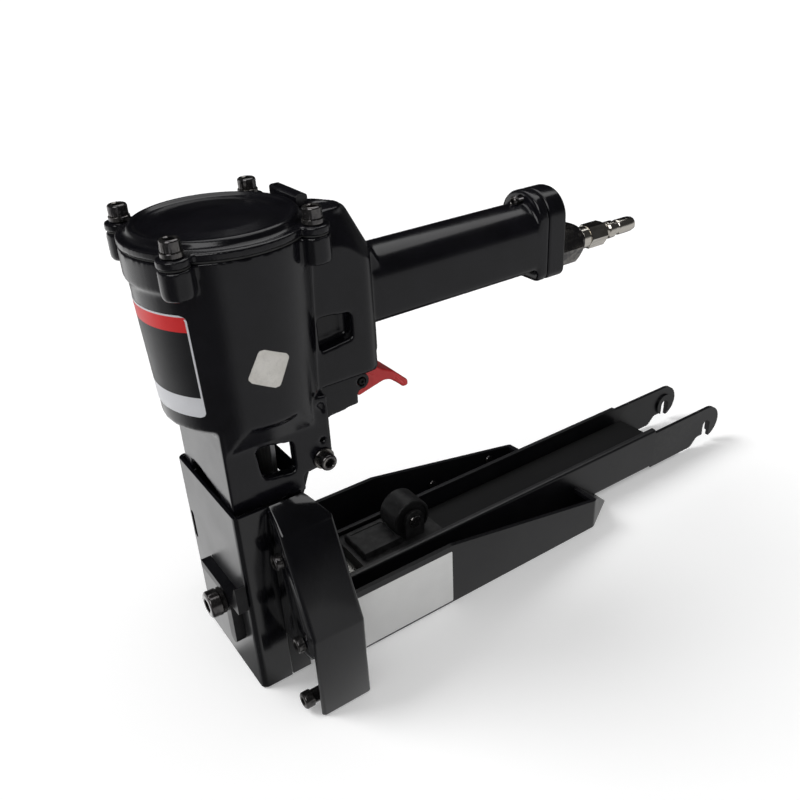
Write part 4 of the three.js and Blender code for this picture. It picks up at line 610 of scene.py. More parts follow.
def buildHousing(size):
    shell = buildBarrel(size)
    welded(shell, buildRear(rearHousing))
    half, corner = handle["half"], handle["lowCorner"]
    grip = extruded("grip", roundedSection(half, handle["lowZ"], handle["highZ"], half, corner, 16), "x",
                    handle["startX"], handle["endX"])
    flangeSection = roundedSection(handle["flangeHalf"], handle["flangeLowZ"], handle["flangeHighZ"],
                                   handle["flangeCorner"], corner, 18)
    flange = extruded("flange", flangeSection, "x", handle["flangeX"], handle["flangeBackX"])
    valveBoss = rod("valve_boss", "z", valveSeat["boss"], *valveSeat["bossZ"], (valveSeat["bossX"], 0, 0), 31)
    welded(shell, grip, flange, valveBoss)
    welded(shell, buildNeck(neck))
    bracket = buildTriggerBracket(triggerBracket)
    carved(shell, rod("bore", "z", size["bore"], size["floorZ"], 240, steps=96),
           rod("passage", "z", size["passage"], 140, 165, steps=48),
           rod("air", "x", handle["airRadius"], handle["airX"], 183, (0, 0, handle["airZ"]), 32),
           rod("thread", "x", inletWay, 170.1, 182, (0, 0, inletZ), 32),
           rod("end_hole", "x", endScrewWay, 160, 182, (0, 0, endScrewZ), 16),
           rod("pocket", "z", valveSeat["pocket"], *valveSeat["pocketZ"], (valveSeat["x"], 0, 0), 32))
    welded(shell, bracket)
    for x, y in bossPlaces:
        carved(shell, rod("way", "z", size["screwWay"], size["screwWayZ"], 236, (x, y, 0), 16))
    for sy in (-1, 1):
        pocket = extruded("recess", [(x, y * sy) for x, y in flankPocket["plan"]], "z", 165, 190)
        shared(pocket, extruded("recess_side", rounded(flankPocket["side"], 1), "y", -31, 31))
        relief = extruded("relief", rounded(flankPocket["relief"], 0.6), "y",
                          *sided(flankPocket["reliefY"], outside, sy))
        hole = rod("hole", "y", flankPocket["hole"], *sided(flankPocket["holeY"], outside, sy),
                   (flankPocket["holeX"], 0, flankPocket["holeZ"]), 16)
        carved(shell, pocket, relief, hole)
    castSkin(shell, size["grain"], size["rounds"])
    return finished(shell, castingPaint, "tool_body", "casting_black", "main_housing")


cuts["tidy"] = True
buildHousing(housing)
cuts["tidy"] = False
print("housing ready")


# Cylinder cap with its raised ring, and the gasket under it
cap = {"radius": 41, "ear": 7, "lowZ": 230.1, "highZ": 233.5, "ring": 36.4, "rimZ": 236.9, "flatX": 36.7,
       "flatHalf": 23.2, "grain": 0.7, "rounds": 5}
gasket = {"radius": 40.2, "ear": 6.2, "lowZ": 229.2, "highZ": 229.9}


def earedDisc(name, size):
    low, high = size["lowZ"], size["highZ"]
    disc = rod(name, "z", size["radius"], low, high, steps=128)
    for x, y in bossPlaces:
        welded(disc, rod("ear", "z", size["ear"], low, high, (x, y, 0), 32))
    carved(disc, block("flat", (cap["flatX"], 60), (-cap["flatHalf"], cap["flatHalf"]), (low - 2, high + 2)))
    for x, y in bossPlaces:
        carved(disc, rod("way", "z", housing["screwWay"], low - 1, high + 1, (x, y, 0), 24))
    return disc


def buildCap(size):
    disc = earedDisc("cap_casting", size)
    ring, rim = size["ring"], size["rimZ"]
    inner = ring - 3
    # the ring stands up from the cap, and the middle is a low dome
    crown = [(0, 231), (ring + 1.2, 231), (ring + 1.2, 233.9), (ring, 234.6), (ring, 235.6), (ring - 1.3, rim),
             (inner + 0.4, rim), (inner - 1.4, rim - 1.5), (inner - 3, rim - 1.4), (inner * 0.7, rim - 0.3),
             (inner * 0.35, rim + 0.5), (0, rim + 0.8)]
    welded(disc, turned("crown", crown, "z", steps=128))
    castSkin(disc, size["grain"], size["rounds"])
    return finished(disc, castingPaint, "tool_body", "casting_black", "cylinder_cap")


def buildGasket(size):
    disc = earedDisc("gasket_sheet", size)
    carved(disc, rod("bore", "z", housing["bore"], size["lowZ"] - 1.2, size["highZ"] + 1.1, steps=96))
    softEdges(disc, 0.12, 1)
    return finished(disc, rubberFinish, "tool_body", "rubber_black", "cap_gasket")


buildCap(cap)
buildGasket(gasket)


# Exhaust cover: a bar across the hump with a bare recessed field and slots at its back
exhaustCover = {"frontX": 36.8, "backX": 42.6, "half": 13, "middleY": 8, "lowZ": 233.2, "highZ": 238.4,
                "fieldX": (38, 41.4), "fieldDepth": 0.35, "fieldEnd": 2.4, "slots": 7, "slotStep": 3.3, "slotHalf": 0.9,
                "slotX": 41.7, "slotZ": (234, 235.6)}


def buildExhaust(size):
    section = rounded([(size["frontX"], size["lowZ"], 0.2), (size["backX"], size["lowZ"], 0.2),
                       (size["backX"], size["highZ"], 1.3), (size["frontX"], size["highZ"], 1.3)], 1, 4)
    near, far = size["middleY"] - size["half"], size["middleY"] + size["half"]
    bar = extruded("exhaust_bar", section, "y", near, far)
    softEdges(bar, 0.7, 3, 50)
    end = size["fieldEnd"]
    carved(bar, block("field", size["fieldX"], (near + end, far - end), (size["highZ"] - size["fieldDepth"], 240)))
    for k in range(size["slots"]):
        y = size["middleY"] + (k - (size["slots"] - 1) / 2) * size["slotStep"]
        span = (y - size["slotHalf"], y + size["slotHalf"])
        carved(bar, block("slot", (size["slotX"], 46), span, size["slotZ"]))
    smoothByAngle(bar)
    return finished(bar, castingPaint, "tool_body", "casting_black", "exhaust_cover")


buildExhaust(exhaustCover)
print("cap ready")


# Socket head screws: each size is modelled once at the origin, the washer's underside at height 0
screwSizes = {
    "cap": {"head": 4.25, "height": 5, "washer": 4.7, "washerHeight": 2.2, "shank": 2.4, "length": 14, "split": True},
    "guard": {"head": 4, "height": 4, "shank": 2.2, "length": 7.5},
    "neck": {"head": 4.25, "height": 5, "washer": 5.4, "washerHeight": 1.2, "shank": 2.5, "length": 11.4},
    "end": {"head": 2.7, "height": 3, "shank": 1.5, "length": 17},
    "stud": {"head": 4.4, "height": 5, "shank": 3.6, "plain": True},
}
screwSeats = {"capZ": 233.7, "guardX": -10.2, "guard": {"upper": (43, 83), "lower": (55, 40)}, "studX": -11,
              "stud": (58.6, 6.5), "neckY": 29.2, "endX": 169.3}
facingTurns = {"+z": None, "-x": (90, "Y"), "-y": (-90, "X"), "+y": (90, "X")}
headSteps = 48  # columns of corners round a knurled head


def knurl(piece, axis, centre, radius, low, high, depth):
    # every other column of corners on the head is pressed in
    first, second, along = axisOrder[axis]
    mesh = edit(piece)
    for corner in mesh.verts:
        place = [corner.co.x / mm + middleX, corner.co.y / mm, corner.co.z / mm]
        across, up = place[first] - centre[first], place[second] - centre[second]
        reach = math.hypot(across, up)
        if abs(reach - radius) < 0.02 and low - 0.01 <= place[along] <= high + 0.01:
            if round(math.degrees(math.atan2(up, across)) * headSteps / 360) % 2:
                share = (reach - depth) / reach
                place[first], place[second] = centre[first] + across * share, centre[second] + up * share
                corner.co = spot(*place)
    bmesh.update_edit_mesh(piece.data)
    bpy.ops.object.mode_set(mode="OBJECT")


def shankProfile(size, seat):
    shank = size["shank"]
    if size.get("plain"):
        # the stud's smooth shank, turned down at its end
        return [(0, -27.2), (2.4, -27.2), (2.4, -26.8), (shank, -26.8), (shank, seat)]
    level, pitch = -size["length"], 0.8
    profile = [(0, level), (shank - 0.5, level)]
    while level < -1.2:
        profile += [(shank, level + pitch * 0.5), (shank - 0.35, level + pitch)]
        level += pitch
    return profile + [(shank, seat)]


def buildScrew(name, size):
    seat, head = size.get("washerHeight", 0), size["head"]
    top = seat + size["height"]
    profile = shankProfile(size, seat)
    profile += [(head - 0.3, seat), (head, seat + 0.3), (head, top - 0.9), (head - 0.25, top - 0.45),
                (head - 0.7, top - 0.1), (head - 1.1, top), (0, top)]
    screw = turned(name, profile, "z", steps=headSteps)
    knurl(screw, "z", (0, 0, 0), head, seat + 0.3, top - 0.9, 0.16)
    keyCorner, keyFloor = head / math.sqrt(3), top - size["height"] * 0.55
    key = [(0, keyFloor), (keyCorner, keyFloor), (keyCorner, top + 1), (0, top + 1)]
    carved(screw, turned("key", key, "z", steps=6))
    mouth = [(0, top - 0.45), (keyCorner - 0.25, top - 0.45), (keyCorner + 0.3, top + 0.1), (0, top + 0.1)]
    carved(screw, turned("mouth", mouth, "z", steps=48))
    if "washer" in size:
        outer, inner = size["washer"], size["shank"] - 0.1
        outline = [(inner, 0.02), (outer - 0.2, 0.02), (outer, 0.25), (outer, seat - 0.25), (outer - 0.2, seat - 0.02),
                   (inner, seat - 0.02)]
        ring = turned("ring", outline, "z", steps=48, closed=True)
        if size.get("split"):
            carved(ring, extruded("gap", [(3, -0.5), (8, 0.1), (8, 0.9), (3, 0.3)], "z", -1, seat + 1))
        welded(screw, ring)
    return smoothByAngle(screw, 35)


def standScrew(pattern, name, seat, facing, node):
    made = copied(pattern, name, seat, facingTurns[facing])
    return finished(made, screwFinish, "tool_body", "screw_black", node)


def standScrews(patterns, seats):
    for i, (x, y) in enumerate(bossPlaces):
        standScrew(patterns["cap"], f"cap_bolt_{i + 1}", (x, y, seats["capZ"]), "+z", f"cap_screw_{i + 1}")
    for hand, sy in (("left", -1), ("right", 1)):
        for level, (y, z) in seats["guard"].items():
            place = (seats["guardX"], y * sy, z)
            standScrew(patterns["guard"], f"guard_bolt_{hand}_{level}", place, "-x", f"guard_screw_{hand}_{level}")
        y, z = seats["stud"]
        standScrew(patterns["stud"], f"spacer_bolt_{hand}", (seats["studX"], y * sy, z), "-x", f"guard_stud_{hand}")
        place = (neck["boltX"], seats["neckY"] * sy, neck["boltZ"])
        standScrew(patterns["neck"], f"lug_bolt_{hand}", place, "+y" if sy > 0 else "-y", f"neck_bolt_{hand}")
    standScrew(patterns["end"], "grip_bolt", (seats["endX"], 0, endScrewZ), "-x", "end_cap_screw")


patterns = {kind: buildScrew("pattern_" + kind, size) for kind, size in screwSizes.items()}
standScrews(patterns, screwSeats)
for pattern in patterns.values():
    mesh = pattern.data
    bpy.data.objects.remove(pattern, do_unlink=True)
    bpy.data.meshes.remove(mesh)
print("screws ready")


# Handle end cap, hexagon bushing and coupler plug
endCap = {"half": 16, "lowZ": 165, "highZ": 213, "corner": 15, "lowCorner": 5, "frontX": 179.3, "backX": 191.5,
          "soft": 1.5}
inlet = {"hexAcross": 21, "hexStart": 191.8, "hexEnd": 211, "neckRadius": 8, "neckEnd": 215.8, "airWay": 2.7,
         "threadStart": 170.4, "threadEnd": 189, "plugStart": 216.1, "plugHexAcross": 12.8}
inletCentre = (0, 0, inletZ)


def buildEndCap(size):
    section = roundedSection(size["half"], size["lowZ"], size["highZ"], size["corner"], size["lowCorner"], 16)
    made = extruded("grip_end", section, "x", size["frontX"], size["backX"])
    softEdges(made, size["soft"], 4, 40)
    carved(made, rod("thread", "x", inletWay, 175, 195, inletCentre, 48),
           rod("way", "x", endScrewWay, 175, 186.5, (0, 0, endScrewZ), 24))
    smoothByAngle(made)
    return finished(made, castingPaint, "tool_body", "casting_black", "handle_end_cap")


def hexBar(name, across, low, high, chamfer):
    # a hexagon whose corners are turned down at both ends
    corner, flat = across / math.sqrt(3), across / 2 + 0.1
    bar = turned(name, [(0, low), (corner, low), (corner, high), (0, high)], "x", inletCentre, 6)
    turnedDown = [(0, low), (flat, low), (flat + chamfer * 2, low + chamfer * 1.2),
                  (flat + chamfer * 2, high - chamfer * 1.2), (flat, high), (0, high)]
    return shared(bar, turned("turned_down", turnedDown, "x", inletCentre, 96))


def buildBushing(size):
    bar = hexBar("hex_nipple", size["hexAcross"], size["hexStart"], size["hexEnd"], 1)
    level, pitch = size["threadStart"], 1.2
    stem = [(0, level), (6.6, level)]
    while level < size["threadEnd"]:
        stem += [(7.4, level + pitch / 2), (6.9, level + pitch)]
        level += pitch
    stem += [(7.4, 192.5), (0, 192.5)]
    welded(bar, turned("stem", stem, "x", inletCentre, 48))
    radius, end = size["neckRadius"], size["neckEnd"]
    collar = [(0, 210), (radius, 210), (radius, end - 0.8), (radius - 0.8, end), (0, end)]
    welded(bar, turned("collar", collar, "x", inletCentre, 64))
    carved(bar, rod("through", "x", size["airWay"], 160, 220, inletCentre, 32),
           rod("seat", "x", 4.9, 201.5, 220, inletCentre, 32))
    smoothByAngle(bar)
    return finished(bar, screwFinish, "tool_body", "screw_black", "hex_bushing")


def buildPlug(size):
    start = size["plugStart"]
    collar, hexEnd = start + 6, start + 19
    neckEnd = hexEnd + 4.4
    ring = neckEnd + 5
    groove = ring + 3.6
    tip = groove + 13
    profile = [(0, 201.8), (4.6, 201.8), (4.6, start), (5.8, start), (6.4, start + 0.6), (6.4, collar - 0.5),
               (5.9, collar), (5.2, collar), (5.2, hexEnd), (4.9, hexEnd + 1), (4.2, hexEnd + 2.2),
               (4.2, neckEnd - 0.4), (4.7, neckEnd), (5.1, neckEnd + 0.5), (5.1, ring - 0.6), (4.6, ring),
               (3.9, ring + 0.4),
               (3.9, groove - 0.4), (4.3, groove), (4.6, groove + 0.6), (4.6, tip - 5.5), (4.45, tip - 2.4),
               (3.9, tip - 0.3), (3.6, tip), (0, tip)]
    plug = turned("coupler_nipple", profile, "x", inletCentre, 64)
    welded(plug, hexBar("plug_hex", size["plugHexAcross"], collar + 0.05, hexEnd, 0.7))
    carved(plug, rod("through", "x", size["airWay"], 195, 270, inletCentre, 32))
    smoothByAngle(plug)
    return finished(plug, nickelFinish, "tool_body", "nickel", "coupler_plug")


buildEndCap(endCap)
buildBushing(inlet)
buildPlug(inlet)
print("inlet ready")


# Trigger: a moulded lever with cheeks round the pin
triggerLever = {
    "outline": [(57.2, 131.6, 2), (76.3, 136.4, 8), (83.8, 130, 3), (85.6, 128, 1.4), (88.8, 128, 1.4),
                (88.8, 131.2, 2.4), (80, 139.4, 6), (73, 143, 4), (66, 148.2, 1.5), (57.2, 148.2, 2)],
    "half": 9, "pocket": [(50, 134.6), (72.5, 139.8, 1.5), (72.5, 150.4), (50, 150.4)], "pocketHalf": 7,
    "bridge": [(63.8, 144.4), (70.2, 144.4), (70.2, 145.2), (66, 148.4), (63.8, 148.4)], "bridgeHalf": 8, "soft": 1.3}
triggerPin = {"half": 12, "radius": 2, "dimple": 0.9}
leverCentre = (triggerBracket["pinX"], 0, triggerBracket["pinZ"])


def buildTrigger(size):
    half, pocket, bridge = size["half"], size["pocketHalf"], size["bridgeHalf"]
    lever = extruded("trigger_lever_piece", rounded(size["outline"], 1, 6), "y", -half, half)
    softEdges(lever, size["soft"], 4, 50)
    carved(lever, extruded("pocket", rounded(size["pocket"], 0.3, 3), "y", -pocket, pocket))
    welded(lever, extruded("bridge", rounded(size["bridge"], 0.3, 2), "y", -bridge, bridge))
    carved(lever, rod("pin_way", "y", triggerBracket["pinWay"], -11, 11, leverCentre, 32))
    smoothByAngle(lever)
    return finished(lever, triggerRed, "trigger_lever", "trigger_red", "trigger")


def buildTriggerPin(size):
    half, radius = size["half"], size["radius"]
    profile = [(0, -half), (radius - 0.4, -half), (radius, -half + 0.4), (radius, half - 0.4), (radius - 0.4, half),
               (0, half)]
    pin = turned("lever_pin", profile, "y", leverCentre, 32)
    for sy in (-1, 1):
        carved(pin, rod("dimple", "y", size["dimple"], *sided(half - 0.7, half + 1, sy), leverCentre, 24))
    smoothByAngle(pin)
    return finished(pin, blackenedSteel, "tool_body", "screw_black", "trigger_pin")


buildTrigger(triggerLever)
buildTriggerPin(triggerPin)
print("trigger ready")


# Front plate: gloss sheet folded to a U, with a slot and the adjuster's hole
plate = {"half": 34.7, "sheet": 2, "faceX": -26.4, "backX": -9.6, "lowZ": 0.4, "highZ": 108.4, "bend": 1.4,
         "slot": [(27, 60), (30.5, 60), (30.5, 77), (27, 77)], "slotRound": 1.7}
adjuster = {"y": -16, "z": 52, "way": 4.3, "frontX": -41, "headRadius": 7, "head": 6, "shank": 3.9, "endX": -3.9}
adjusterCentre = (0, adjuster["y"], adjuster["z"])


def buildFrontPlate(size):
    half = size["half"]
    path = [(size["backX"], -half), (size["faceX"], -half), (size["faceX"], half), (size["backX"], half)]
    near = rounded(path, size["bend"] + size["sheet"], 6, closed=False)
    far = rounded(offsetLine(path, size["sheet"]), size["bend"], 6, closed=False)
    sheet = extruded("folded_plate", near + far[::-1], "z", size["lowZ"], size["highZ"])
    carved(sheet, extruded("slot", rounded(size["slot"], size["slotRound"], 6), "x", -30, -20))
    carved(sheet, rod("way", "x", adjuster["way"], -30, -20, adjusterCentre, 48))
    softEdges(sheet, 0.3, 2, 40)
    finished(sheet, sheetPaint, "tool_body", "sheet_black", "front_plate")
    # second slot: the wide face's lighter colour, a painted reflection
    sheet.data.materials.append(plateFaceSheen)
    for face in sheet.data.polygons:
        if face.normal.x < -0.9 and face.center.x < spot(size["faceX"] + 0.3, 0, 0).x:
            face.material_index = 1  # the wide face: a lighter base colour as painted reflection, and rougher gloss than the folds
    return sheet


buildFrontPlate(plate)


# Depth adjuster: bracket, lock nut and socket head screw along X
adjusterArms = {
    "outline": [(-34.7, 54.6, 1), (-23.6, 54.6, 0.8), (-23.6, 29.8, 0), (-16.8, 29.8, 0), (-16.8, 54.6, 0.8),
                (11, 54.6, 1), (11, 59.2, 1), (-28.2, 59.2, 2.4), (-34.7, 73, 0.8)],
    "frontX": -32.1, "backX": -26.7, "footY": -20.2, "footZ": 29.8, "foot": 3.4, "hub": 7.4}
lockNut = {"frontX": -34.8, "backX": -32.4, "corner": 6.8, "flat": 6, "way": 4.2}


def buildBracket(size):
    front, back = size["frontX"], size["backX"]
    arms = extruded("adjuster_arms", rounded(size["outline"], 1, 4), "x", front, back)
    welded(arms, rod("foot", "x", size["foot"], front, back, (0, size["footY"], size["footZ"]), 32),
           rod("hub", "x", size["hub"], front, back, adjusterCentre, 48))
    carved(arms, rod("way", "x", adjuster["way"], -40, -20, adjusterCentre, 48))
    softEdges(arms, 0.7, 3, 40)
    return finished(arms, bracketPaint, "tool_body", "sheet_black", "adjuster_bracket")


def buildLockNut(size):
    low, high, corner, flat = size["frontX"], size["backX"], size["corner"], size["flat"]
    nut = turned("jam_nut", [(0, low), (corner, low), (corner, high), (0, high)], "x", adjusterCentre, 6)
    turnedDown = [(0, low), (flat, low), (flat + 1, low + 0.6), (flat + 1, high - 0.6), (flat, high), (0, high)]
    shared(nut, turned("turned_down", turnedDown, "x", adjusterCentre, 64))
    carved(nut, rod("way", "x", size["way"], -40, -20, adjusterCentre, 48))
    smoothByAngle(nut)
    return finished(nut, screwFinish, "tool_body", "screw_black", "lock_nut")


def buildAdjusterScrew(size):
    front, radius, shank, end = size["frontX"], size["headRadius"], size["shank"], size["endX"]
    back = front + size["head"]
    profile = [(0, front), (radius - 1.6, front), (radius - 0.9, front + 0.15), (radius - 0.3, front + 0.6),
               (radius, front + 1.2), (radius, back - 0.4), (radius - 0.4, back), (shank, back)]
    level = back
    while level < end - 2:
        profile += [(shank - 0.5, level + 0.6), (shank, level + 1.2)]
        level += 1.2
    profile += [(shank - 0.6, end), (0, end)]
    screw = turned("depth_bolt", profile, "x", adjusterCentre, headSteps)
    knurl(screw, "x", adjusterCentre, radius, front + 1.2, back - 0.4, 0.2)
    corner = radius / math.sqrt(3)
    key = [(0, front - 1), (corner, front - 1), (corner, front + 3.1), (0, front + 3.1)]
    carved(screw, turned("key", key, "x", adjusterCentre, 6))
    smoothByAngle(screw, 35)
    return finished(screw, screwFinish, "depth_screw", "screw_black", "adjuster_screw")


buildBracket(adjusterArms)
buildLockNut(lockNut)
buildAdjusterScrew(adjuster)
print("adjuster ready")


# Side guards: folded sheet with a front flange and a rear flange
guard = {
    "sheet": 2, "frontX": -10, "backX": 18, "bend": 1.6, "plateY": 35.1,
    "line": [(68, 0.6), (68, 49), (46.4, 98), (35.1, 109)],
    "front": [(35.1, 105, 1), (40, 101, 6), (49.4, 85, 0), (68, 49, 0), (64, 35, 4), (50, 31, 3), (35.1, 31, 0)],
    "rear": [(43, 0.6, 0), (68, 0.6, 0), (68, 49, 3.6), (46.4, 98, 3), (43, 96, 0)],
    "hull": [(30, 0.6, 0), (68, 0.6, 0), (68, 49, 3.6), (46.4, 98, 3.6), (35.1, 109, 0), (30, 109, 0)],
    "folds": [(20, -8, 0), (68.02, -8, 0), (68.02, 49, 3.6), (46.42, 98.02, 3.6), (33, 111.2, 0), (20, 111.2, 0)],
    "corner": [(18, 98), (25, 98), (25, 120), (9, 120), (9, 109)], "studWay": 2.7, "screwWay": 2.5}


def buildGuard(size):
    front, back, sheet, bend = size["frontX"], size["backX"], size["sheet"], size["bend"]
    skinOuter = rounded(size["line"], bend + sheet, 6, closed=False)
    skinInner = rounded(offsetLine(size["line"], -sheet), bend, 6, closed=False)
    skin = extruded("side_shield_right", skinOuter + skinInner[::-1], "x", front, back)
    hull = extruded("hull", rounded(size["hull"], 3, 6), "x", -12, 20)
    frontFlange = shared(extruded("front_flange", rounded(size["front"], 2, 4), "x", front, front + sheet), hull)
    welded(skin, frontFlange, extruded("rear_flange", rounded(size["rear"], 2, 6), "x", back - sheet, back))
    carved(skin, block("clear", (-20, 30), (0, size["plateY"]), (0, 120)))
    carved(skin, extruded("corner", size["corner"], "y", 20, 70))
    carved(skin, rod("stud_way", "x", size["studWay"], 14, 20, (0, *screwSeats["stud"]), 24))
    for y, z in screwSeats["guard"].values():
        carved(skin, rod("way", "x", size["screwWay"], -13, -7, (0, y, z), 24))
    # the bends, rounded all along
    folds = extruded("folds", rounded(size["folds"], 3, 6), "x", front - 0.02, back + 0.02)
    softEdges(folds, 1.9, 5, 60)
    shared(skin, folds)
    softEdges(skin, 0.28, 2, 40)
    return skin


rightGuard = buildGuard(guard)
leftGuard = mirrored(rightGuard, "side_shield_left")
finished(rightGuard, sheetPaint, "tool_body", "sheet_black", "side_guard_right")
finished(leftGuard, sheetPaint, "tool_body", "sheet_black", "side_guard_left")
print("guards ready")


# Base tray: folded sheet with sloping walls and pointed rear corners
tray = {"half": 42, "wall": 2.6, "floor": 1.7, "frontX": 13, "levelX": 91, "topZ": 40.5, "lowZ": 20, "backX": 203,
        "pointX": 229, "pointY": 27, "insideBackX": 201.7, "insidePointX": 221, "insideLowZ": 17.4, "middle": 24}
rivets = {"x": (136, 184), "z": 17, "way": 1.8,
          "profile": [(0, 37.8), (1.2, 37.85), (2.1, 38.2), (2.6, 38.7), (2.8, 39.2), (1.5, 39.2), (1.5, 41.5),
                      (0, 41.5)]}


def buildTray(size):
    half, front, back, point, pointY = size["half"], size["frontX"], size["backX"], size["pointX"], size["pointY"]
    plan = [(front, -half, 0), (back, -half, 5), (point, -pointY, 2.2), (point, pointY, 2.2), (back, half, 5),
            (front, half, 0)]
    side = [(front, 0, 0), (point, 0, 0), (back + 2, size["lowZ"], 1), (back, size["lowZ"], 0),
            (size["levelX"], size["topZ"], 6), (front, size["topZ"], 1.5)]
    body = extruded("tray_sheet", rounded(side, 1, 5), "y", -half, half)
    shared(body, extruded("plan", rounded(plan, 1, 6), "z", -1, 41))
    inside, floor, start = half - size["wall"], size["floor"], front - 3
    back, point, low = size["insideBackX"], size["insidePointX"], size["insideLowZ"]
    hollowPlan = [(start, -inside, 0), (back, -inside, 3), (point, -pointY, 1), (point, pointY, 1), (back, inside, 3),
                  (start, inside, 0)]
    hollowSide = [(start, floor, 0), (point, floor, 0), (back, low, 1), (back, 45, 0), (start, 45, 0)]
    hollow = extruded("hollow", rounded(hollowSide, 1, 4), "y", -half, half)
    shared(hollow, extruded("hollow_plan", rounded(hollowPlan, 1, 5), "z", floor, 44))
    carved(body, hollow, block("middle", (start, 232), (-size["middle"], size["middle"]), (floor, 45)))
    for x in rivets["x"]:
        for sy in (-1, 1):
            carved(body, rod("way", "y", rivets["way"], *sided(36, 41.6, sy), (x, 0, rivets["z"]), 16))
    softEdges(body, 0.45, 2, 35)
    return finished(body, trayPaint, "tool_body", "sheet_black", "base_frame")


def buildRivets(size):
    for i, (x, sy) in enumerate([(x, sy) for x in size["x"] for sy in (-1, 1)]):
        profile = [(radius, reach * sy) for radius, reach in size["profile"]]
        rivet = turned(f"wall_rivet_{i + 1}", profile, "y", (x, 0, size["z"]), 24)
        smoothByAngle(rivet)
        finished(rivet, screwFinish, "tool_body", "screw_black", f"base_rivet_{i + 1}")


buildTray(tray)
buildRivets(rivets)
print("tray ready")


# Magazine: channel with inward lips and an open tail with two hooks
magazine = {"outer": 20.8, "wall": 2.5, "sheet": 1.5, "lip": 17, "lowZ": 2, "topZ": 31.5, "frontX": 12.4,
            "lipBackX": 282, "tailX": 280, "tailFloorX": 310, "tailTopZ": 28.8, "hookX": 337.6, "hookZ": 15,
            "hookRadius": 3.8, "hookBoss": 8, "tip": 12.4, "tipZ": 16.4,
            "underside": [(320.8, 2), (322.6, 2.7), (327.3, 7.4), (329, 8)]}
core = {"half": 15.9, "wall": 1.5, "lowZ": 3.8, "topZ": 20.8, "frontX": 12.4, "backX": 287}
staples = {"half": 17.45, "wire": 1.1, "lowZ": 4.4, "topZ": 22.3, "frontX": 7.6, "backX": 49, "pitch": 2.3,
           "grooves": 17, "groove": 0.12}  # the grooves between the wires


def channelPath(lip, half, low, high):
    return [(lip, high), (half, high), (half, low), (-half, low), (-half, high), (-lip, high)]


def buildChannel(size):
    outer, sheet, low, high, tail = size["outer"], size["sheet"], size["lowZ"], size["topZ"], size["tailX"]
    inner = outer - size["wall"]
    near = rounded(channelPath(size["lip"], outer, low, high), 2.2, 5, closed=False)
    far = rounded(channelPath(size["lip"], inner, low + sheet, high - sheet), 0.8, 4, closed=False)
    channel = extruded("magazine_rail", near + far[::-1], "x", size["frontX"], size["lipBackX"])
    floorHalf = outer - 0.4
    welded(channel, block("tail_floor", (tail, size["tailFloorX"]), (-floorHalf, floorHalf), (low, low + sheet)))
    hookX, hookZ, radius = size["hookX"], size["hookZ"], size["hookRadius"]
    inSlot = arc((hookX, hookZ), radius, 180, 0, 12)
    side = [(tail, low), *size["underside"], (hookX - radius, 8), *inSlot, (hookX + radius, 4.6),
            *arc((hookX, size["tipZ"]), size["tip"], -70, 90, 24), (tail, size["tailTopZ"])]
    bossSide = [*arc((hookX, hookZ), size["hookBoss"], -60, 240, 36), *inSlot]
    for sy in (-1, 1):
        arm = extruded("arm", side, "y", *sided(inner + 0.02, outer - 0.02, sy))
        welded(arm, extruded("hook_boss", bossSide, "y", *sided(inner - 1.5, outer - 1, sy)))
        welded(channel, arm)
    softEdges(channel, 0.35, 2, 40)
    finished(channel, trayPaint, "tool_body", "sheet_black", "magazine_channel")
    channel.data.materials.append(lipPaint)
    for face in channel.data.polygons:
        if face.center.z > 31 * mm and face.normal.z > 0.5:
            face.material_index = 1  # the lips' upward faces, in a paler paint
    return channel


def archSection(half, wall, low, high, outerRound, innerRound):
    # an upside-down U, as the staples and their rail have it
    inner, crown = half - wall, high - wall
    return rounded([(-half, low, 0), (-half, high, outerRound), (half, high, outerRound), (half, low, 0),
                    (inner, low, 0), (inner, crown, innerRound), (-inner, crown, innerRound), (-inner, low, 0)], 0, 4)


def buildCore(size):
    section = archSection(size["half"], size["wall"], size["lowZ"], size["topZ"], 1.6, 0.6)
    rail = extruded("staple_rail", section, "x", size["frontX"], size["backX"])
    softEdges(rail, 0.2, 1, 50)
    return finished(rail, blackenedSteel, "tool_body", "sheet_black", "staple_core")


def buildStaples(size):
    # one glued stick: each wire is a rounded rib
    half, groove, top = size["half"], size["groove"], size["topZ"]
    section = archSection(half, size["wire"], size["lowZ"], top, 1.2, 0.5)
    stick = extruded("staple_strip", section, "x", size["frontX"], size["backX"])
    kept = rounded([(-half + groove, 4, 0), (-half + groove, top - groove, 1.1), (half - groove, top - groove, 1.1),
                    (half - groove, 4, 0)], 0, 4)
    for k in range(size["grooves"]):
        x = size["frontX"] + size["pitch"] * (k + 1)
        cutter = extruded("groove", [(-30, 0), (-30, 40), (30, 40), (30, 0)], "x", x - groove, x + groove)
        carved(stick, carved(cutter, extruded("kept", kept, "x", x - 1, x + 1)))
    smoothByAngle(stick)
    return finished(stick, stapleWire, "tool_body", "nickel", "staple_stick")


buildChannel(magazine)
buildCore(core)
buildStaples(staples)
print("magazine ready")


# Pusher saddle with its spring drum
pusher = {
    "section": [(-17.8, 6), (-17.8, 29, 1.6), (17.8, 29, 1.6), (17.8, 6), (16.3, 6), (16.3, 21.2), (-16.3, 21.2),
                (-16.3, 6)],
    "frontX": 49.3, "backX": 104.3, "step": [(52.3, 27, 0), (78.3, 27, 0), (78.3, 33.4, 1.5), (52.3, 33.4, 1.5)],
    "stepHalf": 11, "ear": 6.5, "earY": 10.6, "earLowZ": 27, "drumRoom": 0.4, "axleWay": 2.4,
    "gripX": (54.6, 76), "gripHalf": 8.6, "gripZ": 32.9}
drum = {"x": 87.5, "z": 40, "radius": 12, "half": 8, "bore": 2.5, "hub": 5, "rim": 1.6, "web": 1.2, "soft": 0.4}
drumCentre = (drum["x"], 0, drum["z"])


